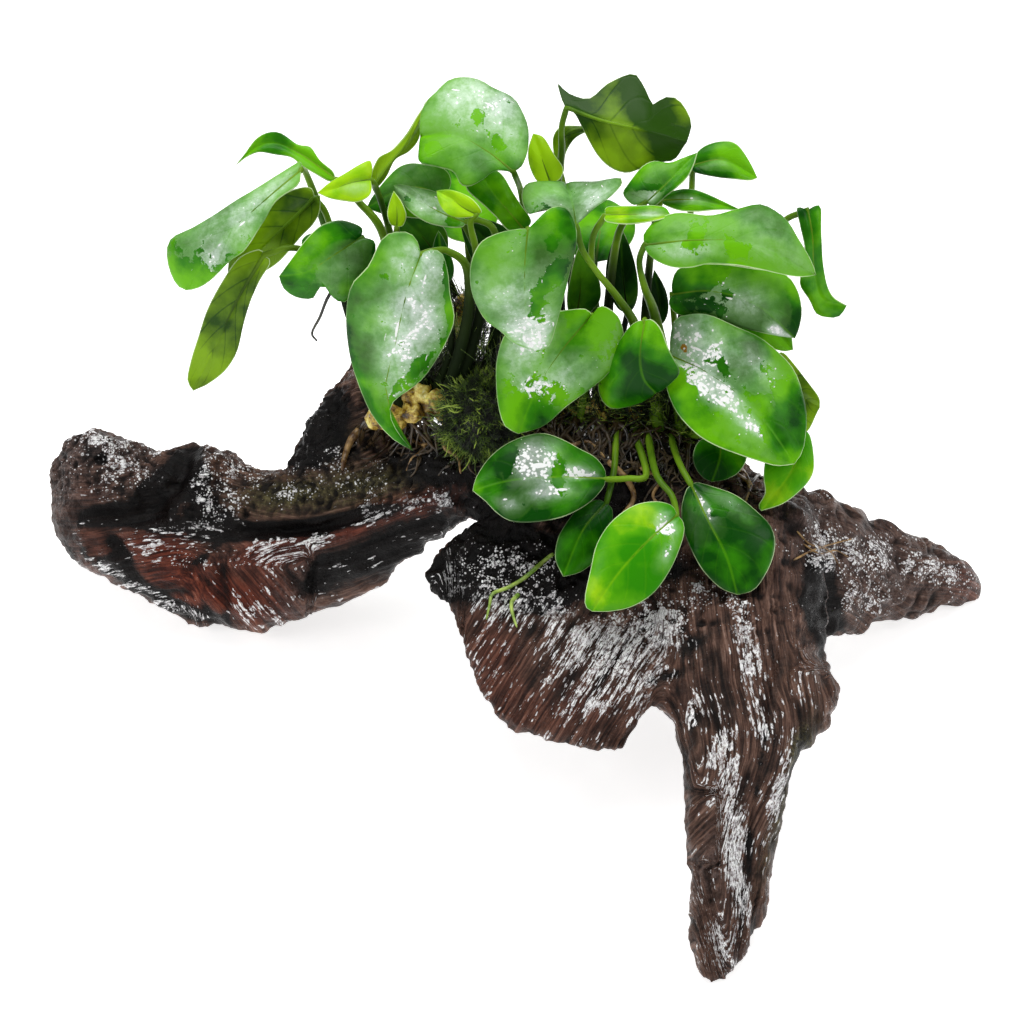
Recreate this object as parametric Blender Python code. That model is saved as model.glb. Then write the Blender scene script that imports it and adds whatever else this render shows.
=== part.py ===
"""Anubias nana grown on a branching piece of driftwood.

Places are in millimetres as seen from the front, 40 degrees above level: right and up across the view,
near towards the eye. seen() turns them into world points. Meshes are made in metres.
"""
import math

import bpy
import bmesh
from mathutils import Vector, noise
from mathutils.bvhtree import BVHTree

# Driving dimensions, mm
EYE = 900.0                    # distance from which the right and up places hold
TILT = math.radians(40.0)      # how far the view looks down
AIM = Vector((-0.7, 6.9, 74.4))  # the point looked at, from the floor under the middle of the piece
GAP = 0.35                     # clearance between pieces that touch
BLADE = 0.9                    # thickness of a leaf at its midrib
STALK = 1.05                   # radius of a leaf stalk
RHIZOME = 4.2                  # radius of the creeping stem
RISE = 32.0                    # how much nearer the eye the tall leaves stand than their feet
GRAIN = 2.6                    # spacing of the wood's surface before it is thinned
LUMPS = ((17.0, 2.0), (7.0, 1.0))  # widths of the lumps on the wood, and how far each stands out
LUMP_SEED = Vector((-0.3, 6.8, 75.0))  # another place gives other lumps
WOOD_FACES = 1700              # triangles kept for all the wood
MM = 0.001

EYEWARD = Vector((0.0, -math.cos(TILT), math.sin(TILT)))

for thing in list(bpy.data.objects):
    bpy.data.objects.remove(thing, do_unlink=True)


def seen(right, up, near):
    """Place in the front view -> world point, mm."""
    k = 1.0 - near / EYE
    y = up * k * math.sin(TILT) - near * math.cos(TILT)
    z = up * k * math.cos(TILT) + near * math.sin(TILT)
    return AIM + Vector((right * k, y, z))


def spline(points, t):
    """Smooth curve through points, t from 0 to 1."""
    pts = [Vector(p) for p in points]
    pts = [pts[0] * 2 - pts[1]] + pts + [pts[-1] * 2 - pts[-2]]
    spans = len(pts) - 3
    x = min(max(t, 0.0), 1.0) * spans
    i = min(int(x), spans - 1)
    f = x - i
    a, b, c, d = pts[i:i + 4]
    bend = (a * 2 - b * 5 + c * 4 - d) * f ** 2 + (b * 3 - a - c * 3 + d) * f ** 3
    return 0.5 * (b * 2 + (c - a) * f + bend)


def finish(name, colour, roughness):
    """Material with the piece's colour and roughness."""
    made = bpy.data.materials.new(name)
    made.use_nodes = True
    shader = made.node_tree.nodes["Principled BSDF"]
    shader.inputs["Base Color"].default_value = (*colour, 1.0)
    shader.inputs["Roughness"].default_value = roughness
    made.diffuse_color = (*colour, 1.0)
    return made


WOOD = finish("wet_driftwood", (0.035, 0.022, 0.018), 0.4)
LEAF = finish("leaf_green", (0.05, 0.26, 0.01), 0.3)
YOUNG = finish("young_leaf", (0.28, 0.55, 0.01), 0.3)
RHIZOME_SKIN = finish("rhizome_tan", (0.45, 0.30, 0.07), 0.5)
ROOT_SKIN = finish("root_green", (0.24, 0.36, 0.05), 0.45)
MOSS = finish("moss_dark", (0.015, 0.04, 0.005), 0.9)


def put(name, bm, material):
    """Mesh in metres -> object with its material."""
    bmesh.ops.triangulate(bm, faces=bm.faces)
    bmesh.ops.recalc_face_normals(bm, faces=bm.faces)
    mesh = bpy.data.meshes.new(name)
    bm.to_mesh(mesh)
    bm.free()
    mesh.materials.append(material)
    item = bpy.data.objects.new(name, mesh)
    bpy.context.collection.objects.link(item)
    return item


def loft(name, rings, material):
    """Closed body through rings of equal count, given in mm."""
    bm = bmesh.new()
    loops = [[bm.verts.new(p * MM) for p in ring] for ring in rings]
    for low, high in zip(loops, loops[1:]):
        for i in range(len(low)):
            j = (i + 1) % len(low)
            bm.faces.new((low[i], low[j], high[j], high[i]))
    bm.faces.new(list(reversed(loops[0])))
    bm.faces.new(loops[-1])
    return put(name, bm, material)


def tube(name, points, radii, material, sides=8):
    """Round stem through world points in mm, with a radius at each."""
    rings = []
    frame_up = Vector((0.0, 0.3, 1.0))
    for i, point in enumerate(points):
        ahead = points[min(i + 1, len(points) - 1)]
        behind = points[max(i - 1, 0)]
        along = (ahead - behind).normalized()
        side = along.cross(frame_up).normalized()
        frame_up = side.cross(along).normalized()
        ring = []
        for n in range(sides):
            turn = math.tau * n / sides
            ring.append(point + (side * math.cos(turn) + frame_up * math.sin(turn)) * radii[i])
        rings.append(ring)
    return loft(name, rings, material)


# Wood. Each limb by the two outlines it shows in the view, how near it is and half its thickness
LIMBS = {
    "left": [
        ((-144.5, 13), (-144, -2), -72, 7), ((-139, 23), (-138, -13), -71, 15),
        ((-130, 27), (-130, -19), -69, 19), ((-119, 23.5), (-120, -24), -67, 19.5),
        ((-112, 19), (-110, -30), -66, 19), ((-102, 21), (-101, -35.5), -65.5, 20.5),
        ((-91, 21), (-90, -37), -64.5, 20), ((-80, 14), (-78, -37), -62, 19),
        ((-68, 13), (-66, -33.5), -57, 18), ((-54, 14), (-50, -28.5), -50, 17),
        ((-42, 15), (-40, -22.5), -43, 16), ((-30, 18), (-30, -13), -35, 15),
        ((-18, 20), (-18, -6), -29, 15)],
    "stub": [
        ((-72, 8), (-34, 8), -46, 13), ((-67, 19), (-31, 22), -48, 13), ((-63.5, 29), (-32, 33), -51, 12),
        ((-58, 36), (-34, 42), -53, 10), ((-51.5, 44), (-37, 49), -54, 8), ((-47, 51), (-41, 54), -54, 4)],
    "trunk": [
        ((-46, 15), (-42, -20), -42, 14), ((-30, 22), (-26, -9), -32, 16), ((-10, 26), (-13, -2), -25, 17),
        ((10, 27), (8, -12), -22, 18), ((30, 27), (30, -22), -20, 19), ((50, 25), (52, -28), -20, 19),
        ((68, 19), (70, -32), -24, 18), ((84, 8), (88, -38), -30, 16), ((93, 5.5), (97, -44), -35, 14)],
    "plate": [
        ((0, 8), (50, 8), -17, 12), ((-14, -4), (50, -5), -11, 11), ((-26, -13), (50, -15), -6, 9),
        ((-29.5, -18), (50, -22), -3.5, 8), ((-27.5, -23.5), (50, -28), -1, 8),
        ((-20, -30), (50, -35), 2.5, 8),
        ((-15, -42), (52, -44), 8, 8), ((-9.5, -56), (52, -57), 13.5, 8), ((-5.5, -65), (42, -62), 17, 8),
        ((1, -69.5), (38.5, -67), 19, 7.5), ((14, -71), (37, -72), 20, 6), ((23, -74), (35, -75), 20.5, 4)],
    "leg": [
        ((36, 6), (92, 3), -18, 15), ((37, -12), (97, -14), -10, 17), ((38, -30), (99, -38), -2, 17),
        ((42, -47), (99, -49), 6, 16), ((45, -58.5), (103.5, -57), 11, 15),
        ((50.5, -66), (99, -65), 15, 14.5),
        ((52, -78), (90, -78), 21, 14), ((54.5, -91), (85, -91), 27, 13), ((55, -106), (82, -106), 33.5, 12),
        ((55.5, -121), (79.5, -120), 39.5, 11), ((54.8, -133), (77, -130), 44, 9.5),
        ((56.5, -140.5), (71, -140.5), 47, 7.5), ((59.5, -146), (66, -145), 49, 4)],
    "right": [
        ((70, 10), (80, -30), -24, 15), ((86, 6), (95, -38), -31, 16), ((97, 7), (99, -44), -38, 16),
        ((107, 2), (107, -38), -48, 14.5), ((120, -5.5), (118, -32.5), -60, 12),
        ((132, -10.5), (131, -31), -71, 9.5),
        ((141, -16), (141, -30), -78.5, 7), ((145.5, -21.5), (145, -27), -82, 3.5)],
}

# Saw lines at the forks, in the view, and a place inside each piece they leave
FORKS = [((-38.5, 36), (-24, -26)), ((-86, 14.5), (-12, 30)), ((-36, -9), (44, -9)), ((44, -7), (44, -82)),
         ((43.5, -38), (110, -38)), ((91, 14), (98, -39))]
PIECES = {
    "wood_left_arm": (-90, -8, -64), "wood_back_stub": (-50, 34, -52), "wood_trunk": (20, 8, -21),
    "wood_slab": (12, -42, 8), "wood_leg": (68, -80, 20), "wood_right_arm": (115, -16, -55)}


def limb(name, stations, count=18):
    """Body of rounded sections, each spanned by its two outlines and its thickness."""
    rings = []
    for edge_a, edge_b, near, half in stations:
        a = seen(*edge_a, near)
        b = seen(*edge_b, near)
        ring = []
        for i in range(count):
            turn = math.tau * i / count
            c = math.copysign(abs(math.cos(turn)) ** 0.9, math.cos(turn))
            s = math.copysign(abs(math.sin(turn)) ** 0.9, math.sin(turn))
            ring.append((a + b) / 2 + (b - a) / 2 * c + EYEWARD * (half * s))
        rings.append(ring)
    return loft(name, rings, WOOD)


def boolean(item, tool, operation):
    """Cut or join one body with another for good."""
    cut = item.modifiers.new(operation.lower(), "BOOLEAN")
    cut.operation = operation
    cut.solver = "EXACT"
    cut.object = tool
    settle(item)


def settle(item):
    """Keep the shape that the modifiers give."""
    graph = bpy.context.evaluated_depsgraph_get()
    made = bpy.data.meshes.new_from_object(item.evaluated_get(graph))
    item.modifiers.clear()
    item.data = made


def drop(item):
    bpy.data.objects.remove(item, do_unlink=True)


def grown_wood():
    """All limbs as one rough body."""
    parts = [limb(name, stations) for name, stations in LIMBS.items()]
    bm = bmesh.new()
    for part in parts:
        bm.from_mesh(part.data)
        drop(part)
    wood = put("wood", bm, WOOD)
    skin = wood.modifiers.new("skin", "REMESH")
    skin.mode = "VOXEL"
    skin.voxel_size = GRAIN * MM
    settle(wood)
    for vertex in wood.data.vertices:
        place = vertex.co / MM - AIM + LUMP_SEED
        raised = sum(noise.noise(place / width) * height for width, height in LUMPS)
        vertex.co += vertex.normal * (raised * MM)
    thin = wood.modifiers.new("thin", "DECIMATE")
    faces = sum(len(face.vertices) - 2 for face in wood.data.polygons)
    thin.ratio = WOOD_FACES / faces
    thin.use_collapse_triangulate = True
    settle(wood)
    return wood


def slab(corners_low, corners_high):
    """Box-like cutter through two rings of four corners, mm."""
    return loft("cutter", [corners_low, corners_high], WOOD)


def saw(wood, start, end):
    """Cut a gap that follows a line of the view straight into the depth."""
    rings = []
    for near in (-110, 75):
        a = seen(*start, near)
        b = seen(*end, near)
        side = (b - a).cross(EYEWARD).normalized() * (GAP / 2)
        rings.append([a - side, a + side, b + side, b - side])
    blade = slab(*rings)
    boolean(wood, blade, "DIFFERENCE")
    drop(blade)


CRUMB = 40                     # a body with no more corners than this is left out


def islands(item):
    """Separate bodies of a mesh, as lists of vertex numbers. Crumbs left by the saw are passed over."""
    bm = bmesh.new()
    bm.from_mesh(item.data)
    left = set(bm.verts)
    groups = []
    while left:
        start = left.pop()
        group = [start]
        stack = [start]
        while stack:
            for edge in stack.pop().link_edges:
                for vertex in edge.verts:
                    if vertex in left:
                        left.remove(vertex)
                        group.append(vertex)
                        stack.append(vertex)
        if len(group) > CRUMB:
            groups.append([vertex.index for vertex in group])
    bm.free()
    return groups


def split(wood):
    """Each sawn limb becomes an object of its own."""
    corners = wood.data.vertices
    groups = islands(wood)
    middles = [sum((corners[i].co for i in group), Vector()) / len(group) for group in groups]
    for name, place in PIECES.items():
        target = seen(*place) * MM
        away = [(middle - target).length for middle in middles]
        keep = set(groups[away.index(min(away))])
        bm = bmesh.new()
        bm.from_mesh(wood.data)
        bmesh.ops.delete(bm, geom=[v for v in bm.verts if v.index not in keep], context="VERTS")
        put(name, bm, WOOD)
    drop(wood)


# Creeping stem, along the top of the trunk
STEM_LINE = [(-38, 34, -19), (-27, 34, -17), (-12, 33, -16), (8, 32, -15), (30, 31, -14), (46, 28, -15),
             (58, 24, -19)]
SHOOT = [(-15, 40, -19), (-17, 47, -20), (-17.5, 55, -20), (-16, 62, -19), (-14, 68, -19)]
SHOOT_RADII = [2.6, 3.4, 2.8, 3.3, 1.6]


def stem_point(s):
    return spline([seen(*p) for p in STEM_LINE], s)


def stem_way(s):
    return (stem_point(min(s + 0.02, 1.0)) - stem_point(max(s - 0.02, 0.0))).normalized()


def foot(s, angle):
    """Where a stalk leaves the creeping stem: s along it, angle in degrees from up towards the eye."""
    along = stem_way(s)
    upward = Vector((0, 0, 1)) - along * along.z
    upward.normalize()
    eyeward = along.cross(upward)
    if eyeward.dot(EYEWARD) < 0:
        eyeward = -eyeward
    turn = math.radians(angle)
    out = upward * math.cos(turn) + eyeward * math.sin(turn)
    return stem_point(s), out


# Leaves. Each has its root on the creeping stem, the places its stalk passes, the midrib from the stalk to
# the tip, and the ways a and b from the midrib to its two edges where the blade is widest. face is 1 where
# the upper side shows in the view and -1 where the lower side does. taper bends the outline towards the tip.
LEAVES = {}


def leaf(name, root, via, mid, a, b, face=1, widest=0.36, lobe=0.1, taper=(1.9, 0.92), skin=LEAF):
    LEAVES[name] = dict(root=root, via=via, mid=mid, a=Vector(a), b=Vector(b), face=face, widest=widest,
                        lobe=lobe, taper=taper, skin=skin)


BLUNT = (2.5, 0.75)
SQUARE = (5.0, 0.6)
DRIP = (1.3, 1.3)

# Upper left
leaf("leaf_01", (0.03, -75), [(-52, 72, -48), (-62, 100, -42), (-66, 109, -26)],
     [(-66, 106, -2), (-86, 89, 5), (-105, 76, 0)], (-6, 9, -5), (6, -9, 2), widest=0.6, taper=SQUARE)
leaf("leaf_02", (0.0, -25), [(-50, 60, -26), (-57, 90, -18)],
     [(-62, 98, -15), (-74, 87, -13), (-88, 73, -15)],
     (-7, 7, -2), (7, -6, 0), face=-1)
leaf("leaf_03", (0.0, 10), [(-50, 60, -22), (-56, 78, -12), (-68, 82.5, -4)],
     [(-78, 80.5, -2), (-86, 66, 0), (-93, 51, 0), (-99, 38, -3)],
     (-7.5, 2.5, -2), (7, -2.5, -2), face=-1)
leaf("leaf_04", (0.08, 0), [(-37, 62, -26), (-40, 86, -19), (-48, 97, -14), (-54, 102.5, -10)],
     [(-56, 104.5, -8), (-63, 110.8, -7), (-72, 115.5, -7), (-80, 114, -7), (-86, 109, -8)],
     (1.5, 4, 0), (-1.5, -3.2, 1), widest=0.3)
leaf("leaf_05", (0.11, -20), [(-35, 60, -30), (-38, 86, -24), (-42, 100, -12)],
     [(-44, 104, -3), (-52, 102.5, -1), (-60.5, 100, -2)],
     (0, 5.4, -1), (0, -5.4, 1), widest=0.28, skin=YOUNG)
leaf("leaf_06", (0.14, -40), [(-32, 64, -36), (-40, 94, -24)],
     [(-43, 102, -17), (-37, 110, -16), (-31, 118, -16), (-27.5, 128, -17)],
     (-2.6, 1.8, 0), (2.6, -1.8, -2), face=-1)
leaf("leaf_07", (0.40, -30), [(-2, 60, -38), (4, 84, -33), (3, 99, -28)],
     [(0.5, 106, -8), (-10, 116, -9), (-20, 121, -10), (-30, 118, -14)],
     (5, 17, -6), (-4, -12, 3), taper=BLUNT)
leaf("leaf_08", (0.33, -60), [(-5, 50, -34), (-6, 68, -37), (-14, 88, -31)],
     [(-22, 98, -24), (-33, 102, -24), (-44, 95, -25)], (1, 7, -2), (-1, -7, 0))
leaf("leaf_09", (0.17, 0), [(-34, 60, -19), (-36, 80, -16)],
     [(-36, 89.5, -13), (-36, 95, -12), (-37, 100.5, -12)],
     (-2.6, 0, 0), (2.6, 0, 0), lobe=0.0, skin=YOUNG)
leaf("leaf_10", (0.33, -20), [(-4, 64, -24), (-5, 86, -15), (-10, 91, -14)],
     [(-14.5, 91, -15), (-26, 95.5, -14), (-37, 102, -18)], (2, 4.5, -2), (-1.5, -5, 2))
leaf("leaf_11", (0.28, 20), [(-10, 62, -10), (-11, 80, -6), (-13, 90, -5)],
     [(-12, 93.5, -4), (-17, 96.5, -3), (-24, 100.5, -4)], (1.5, 3.6, 0), (-2, -4, 1), skin=YOUNG)
leaf("leaf_12", (0.44, 10), [(6, 58, -24), (6, 76, -23)], [(4, 89, -20), (-3, 96, -20), (-10, 104, -24)],
     (5, 4.5, -2), (-5.5, -4.5, 2))

# Middle
leaf("leaf_13", (0.80, 0), [(38.5, 48, -14), (38.5, 58, -11), (33, 67, -8), (27, 74.5, -7), (22, 82, -7)],
     [(20, 90, -6), (18, 96, -12), (16, 102.5, -23)], (-15.5, 4, -4), (15.5, 8, -4))
leaf("leaf_14", (0.48, 50), [(8, 48, -9), (8.5, 68, -3), (6.5, 84, 7)],
     [(5, 88, 14), (4, 76, 18), (4.5, 62, 18), (6.5, 50, 14)], (-17, 0, -5), (15, 1, -5), lobe=0.15)
leaf("leaf_15", (0.60, 70), [(24, 45, -2), (27, 57, 0)],
     [(25, 62, 3), (16.5, 51, 7.5), (7.5, 38.5, 9), (1.5, 24.5, 5.5)],
     (-13, 7, -5), (14, -7.5, -3), widest=0.42, taper=BLUNT)
leaf("leaf_16", (0.25, 20), [(-14, 60, -6), (-14, 76, -2), (-20, 81.5, 4), (-26, 81.5, 9)],
     [(-29, 80, 13), (-33, 66, 20), (-36, 50, 21), (-38, 35, 15), (-31, 19.5, 8)],
     (-16.5, 1, -5), (16.5, -1, -4), widest=0.3, lobe=0.13, taper=DRIP)
leaf("leaf_17", (0.05, 40), [(-39, 52, -8), (-42, 75, -6)],
     [(-47, 87, 2), (-57, 80, 6), (-66, 74, 5), (-72, 72, 1)],
     (-5, 10, -5), (5, -11.5, -2), widest=0.42, taper=BLUNT)
leaf("leaf_18", (0.21, -10), [(-19, 52, -10)], [(-20, 72, -8), (-22, 80, -10), (-23, 88, -12)],
     (-3.2, 0, 0), (3.2, 0, 0))

# Upper right
leaf("leaf_19", (0.56, -60), [(15, 62, -42), (14, 98, -33), (15.5, 112, -25), (15.5, 120, -18)],
     [(18, 126, -14), (30, 121, -12), (42, 118, -14), (54, 113, -19)], (3, 15.5, -7), (-2, -14, -5),
     face=-1, widest=0.5, taper=BLUNT)
leaf("leaf_20", (0.53, -20), [(11, 62, -32), (12.5, 88, -28)],
     [(11.5, 102.5, -26), (9.5, 110, -24), (7, 119, -25)],
     (-5, -1, -1), (5, 1, -1), skin=YOUNG)
leaf("leaf_21", (0.60, -25), [(19, 62, -38), (18, 90, -38)],
     [(16, 104, -36), (14.5, 113, -34), (18, 118.5, -32), (28, 120, -32)],
     (-1.6, 1.2, 0), (1.6, -1.4, 0), face=-1)
leaf("leaf_22", (0.66, -30), [(30, 62, -34), (33, 86, -22), (38, 94.5, -14)],
     [(42, 97.5, -11), (47, 103, -11), (58, 112.5, -14)], (-5.5, 6.5, -2), (4, -4, 2))
leaf("leaf_23", (0.84, -60), [(54, 66, -46), (56, 98, -32)],
     [(56, 108.5, -20), (66, 110.5, -18), (77, 104.8, -20)],
     (0, 5.4, -1), (0, -5.4, 1), widest=0.42)
leaf("leaf_24", (0.76, -35), [(42, 66, -34), (44.5, 90, -21)],
     [(46.5, 97.5, -17), (58, 97.5, -15), (72, 94.4, -17)],
     (0, 3.4, -1), (0, -3.6, 1), widest=0.3)
leaf("leaf_25", (0.68, 0), [(26, 64, -18), (25, 84, -14)], [(29, 93, -10), (39, 93, -6), (49.5, 93, -5)],
     (0, 2.6, -1.5), (0, -2.6, 1.5), lobe=0.0, taper=BLUNT, skin=YOUNG)
leaf("leaf_26", (0.87, 5), [(45, 60, -12), (41.5, 70, -8), (39.8, 78, -5)],
     [(41.5, 83, -1), (57, 85, 2), (76, 85.5, 2), (95, 74.5, -4)],
     (0, 10, -7), (0, -9, 4), widest=0.5, taper=BLUNT)
leaf("leaf_27", (0.97, -50), [(62, 60, -44), (82, 88, -26)],
     [(92.5, 94, -16), (93.5, 86, -15), (95, 76, -15), (97, 66, -15), (104, 63.5, -15)],
     (-3.5, 0, 0), (3.5, 0, -1),
     widest=0.3, lobe=0.0, taper=BLUNT)

# Lower right
leaf("leaf_28", (0.92, 20), [(52, 46, -16)],
     [(50, 67, -10), (62, 69, -7), (76, 65, -6), (88.5, 54.5, -4)],
     (2, 8.5, -6), (-1.5, -9, 5), widest=0.42, taper=BLUNT)
leaf("leaf_29", (0.95, -10), [(56, 46, -22)], [(61, 58, -18), (77, 60, -17), (88, 50.5, -16)],
     (5, 8, -2), (-3, -8, 2))
leaf("leaf_30", (0.90, 60), [(51, 36, -4)], [(49.5, 49, 2), (62, 43, 10), (76, 32, 12), (88, 15.5, 8)],
     (11, 15, -11), (-9, -15, 3), widest=0.38)
leaf("leaf_31", (0.82, 60), [(41, 45, -6), (42, 56, 2)],
     [(41.5, 60, 8), (40, 50, 13), (41, 42, 14), (43, 35.5, 12)],
     (-10, -5, -12), (9.5, -4, 1), widest=0.45)
leaf("leaf_32", (0.99, -30), [(64, 36, -26), (73, 42, -20)],
     [(80, 40, -15), (88, 37, -16), (96, 32, -18)],
     (3, 10.5, -1), (0, -11.5, 0), face=-1)
leaf("leaf_33", (0.96, 40), [(66, 22, -7), (80, 26, -5)], [(90, 26, -2), (88, 15, 0), (78, 0.5, 2)],
     (-7.5, 3, 0), (6.5, -3.5, -2), skin=YOUNG)
leaf("leaf_34", (0.94, 60), [(58, 24, -6)], [(65, 24, -3), (65, 17, 0), (63, 9.5, 1)],
     (-7.5, 0, -1), (8, 1, -1))
leaf("leaf_35", (0.87, 85), [(52, 16, 5)], [(56, 8, 11), (61.5, -3, 15), (67, -14, 17), (71, -26.5, 15)],
     (14.5, 5, -4), (-10.5, -4, -2), widest=0.45, taper=BLUNT)
leaf("leaf_36", (0.79, 85), [(45, 12, 7), (50, 5, 12)],
     [(51, 0, 18), (42, -9.5, 24), (33, -19.5, 25), (24.5, -31, 22)],
     (-8.5, 8.5, -3), (8, -8.5, -3), widest=0.45, taper=BLUNT, skin=YOUNG)
leaf("leaf_37", (0.74, 85), [(42, 12, 2), (36, 10.5, 4)],
     [(29.5, 10.5, 6), (15, 11, 12), (0, 10.5, 12), (-12.5, 7, 8)],
     (-1, 13.5, -5), (0, -13.5, 3), widest=0.42)
leaf("leaf_38", (0.69, 80), [(32, 14, 0)], [(29.5, 3, 5), (22, -6, 9), (16, -20, 10)],
     (-6.5, 3.5, -1), (7, -4, -3),
     widest=0.5, taper=BLUNT)

# Dark leaves deeper in, and those that lean away behind
leaf("leaf_39", (0.58, 20), [(17, 48, -14)], [(19, 62, -14), (19.5, 69, -14), (18.5, 75.5, -15)],
     (-3, 0, 0), (3, 0, 0))
leaf("leaf_40", (0.815, -25), [(46, 46, -28)], [(46, 58, -25), (46, 67, -25), (44.5, 75.5, -26)],
     (-2.8, 0, 0), (2.8, 0, 0))
leaf("leaf_41", (0.72, -60), [(34, 50, -36)], [(37, 62, -34), (36, 76, -33), (35, 89, -34)],
     (-3.8, 0, 0), (3.8, 0, 0))
leaf("leaf_42", (0.195, -60), [(-16, 60, -40)], [(-22, 78, -44), (-28, 86, -44), (-37, 94, -46)],
     (-5, -6, 0), (5, 5, -1))
leaf("leaf_43", (0.37, -60), [(0, 60, -44)], [(-2, 78, -42), (-8, 85, -42), (-16, 92, -44)],
     (-5, -6, 0), (5, 5, -1))
leaf("leaf_44", (0.12, -90), [(-40, 62, -48)], [(-45, 72, -54), (-54, 80, -62), (-66, 84, -72)],
     (-6, 8, -6), (6, -8, 6))
leaf("leaf_45", (0.30, -90), [(-12, 62, -56)], [(-14, 84, -62), (-16, 98, -72), (-20, 108, -86)],
     (-11, 0, -2), (11, 0, -2))
leaf("leaf_46", (0.64, -90), [(24, 60, -52)], [(26, 78, -58), (28, 90, -68), (30, 98, -82)],
     (-11, 0, -2), (11, 0, -2))
leaf("leaf_47", (0.88, -90), [(54, 60, -50)], [(60, 72, -54), (70, 80, -62), (80, 84, -76)],
     (-5, 9, -6), (5, -9, 6))


def grown(right, up, near):
    """Place of a leaf: the higher it reaches, the more upright it stands."""
    share = min(max((up - 34.0) / 60.0, 0.0), 1.0)
    return seen(right, up, near + RISE * share * share * (3.0 - 2.0 * share))


def half_width(t, widest, taper):
    """Share of the full half width at t along the blade."""
    if t < widest:
        x = (widest - t) / widest
        return math.sqrt(1.0 - 0.86 * x * x)
    x = (t - widest) / (1.0 - widest)
    return max(1.0 - x ** taper[0], 0.0) ** taper[1]


# Places along the blade that carry a ring, and the share of the way to the edge that has corners too
STATIONS = (0.02, 0.14, 0.42, 0.74, 1.0)
HALF_WAY = 0.52
HALF_SWEEP = 0.45              # how much of the lobe's sweep those corners follow
DOME = 0.06                    # how far they stand above a flat blade, as a share of the width


def blade_rings(spec):
    """Rings of eight points from the stalk's end to the tip."""
    line = [grown(*p) for p in spec["mid"]]
    length = sum((q - p).length for p, q in zip(line, line[1:]))
    middle = Vector(spec["mid"][len(line) // 2])
    side_a = grown(*(middle + spec["a"])) - grown(*middle)
    side_b = grown(*(middle + spec["b"])) - grown(*middle)
    if (side_b - side_a).cross(line[-1] - line[0]).dot(EYEWARD) * spec["face"] < 0:
        side_a, side_b = side_b, side_a
    rings = []
    for t in STATIONS:
        point = spline(line, t)
        along = (spline(line, t + 0.03) - spline(line, t - 0.03)).normalized()
        way_a = side_a - along * side_a.dot(along)
        way_b = side_b - along * side_b.dot(along)
        normal = (way_b - way_a).cross(along).normalized()
        last = t == STATIONS[-1]
        share = 0.03 if last else half_width(t, spec["widest"], spec["taper"])
        sweep = along * (-spec["lobe"] * length * max(1.0 - t / 0.34, 0.0) ** 2)
        thick = normal * (BLADE / 2 * (0.4 if last else 1.0))
        dome = normal * (DOME * (way_b - way_a).length * share)
        edge_a = point + way_a * share + sweep
        edge_b = point + way_b * share + sweep
        half_a = point + way_a * (share * HALF_WAY) + sweep * HALF_SWEEP + dome
        half_b = point + way_b * (share * HALF_WAY) + sweep * HALF_SWEEP + dome
        rings.append([edge_a, half_a + thick * 0.8, point + thick, half_b + thick * 0.8,
                      edge_b, half_b - thick * 0.8, point - thick, half_a - thick * 0.8])
    return rings


def stalk_rings(points, first):
    """Rings of eight points along the stalk, from the blade's first ring back to the foot."""
    side = (first[4] - first[0]).normalized()
    other = (first[2] - first[6]).normalized()
    along = other.cross(side)
    rings = []
    for i in reversed(range(len(points))):
        way = (points[min(i + 1, len(points) - 1)] - points[max(i - 1, 0)]).normalized()
        turn = along.rotation_difference(way)
        side.rotate(turn)
        other.rotate(turn)
        along = way
        ring = []
        for n in range(8):
            angle = math.pi - math.tau * n / 8
            ring.append(points[i] + (side * math.cos(angle) + other * math.sin(angle)) * STALK)
        rings.insert(0, ring)
    return rings


def grown_leaf(name, spec):
    """Stalk and blade as one body."""
    rings = blade_rings(spec)
    start, out = foot(*spec["root"])
    path = [start + out * (RHIZOME + 1.0)] + [grown(*p) for p in spec["via"] + spec["mid"][:1]]
    return loft(name, stalk_rings(path, rings[0]) + rings, spec["skin"])


# Creeping stem, its side shoot, roots and moss that lie on the wood
def stem():
    count = 14
    line = [stem_point(i / count) for i in range(count + 1)]
    radii = []
    for i in range(count + 1):
        base = RHIZOME * (0.92 + 0.10 * math.sin(i * 2.2))
        ends = min(i, count - i)
        radii.append(base * (0.45, 0.85, 1.0)[min(ends, 2)])
    tube("rhizome_shoot", [seen(*p) for p in SHOOT], SHOOT_RADII, RHIZOME_SKIN)
    return tube("rhizome", line, radii, RHIZOME_SKIN)


# Roots that creep over the wood, by where they run in the view and their radius
ROOTS = {
    "root_slab": ([(13, -13), (8, -17), (4, -20.5), (-1, -23.5), (-6, -25.5), (-7, -29), (-8, -33.5)], 0.7),
    "root_slab_side": ([(2.2, -25.5), (0, -28), (0, -31), (1.5, -36)], 0.7),
    "root_left": ([(-44, 28), (-47, 26), (-50, 23), (-52, 18), (-53, 13)], 1.1),
}


def root(name, places, radius, wood):
    """Root laid on the wood along the view's line of sight."""
    count = 7
    corners = [vertex.co.copy() for vertex in wood.data.vertices]
    tree = BVHTree.FromPolygons(corners, [face.vertices[:] for face in wood.data.polygons])
    line = []
    for i in range(count + 1):
        right, up, _ = spline([(*p, 0.0) for p in places], i / count)
        eye_side = seen(right, up, 120.0) * MM
        way = (seen(right, up, -120.0) * MM - eye_side).normalized()
        line.append(tree.ray_cast(eye_side, way)[0] / MM + EYEWARD * (radius * 0.5))
    radii = [radius * (0.6 if i in (0, count) else 1.0) for i in range(count + 1)]
    return tube(name, line, radii, ROOT_SKIN, sides=5)


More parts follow.
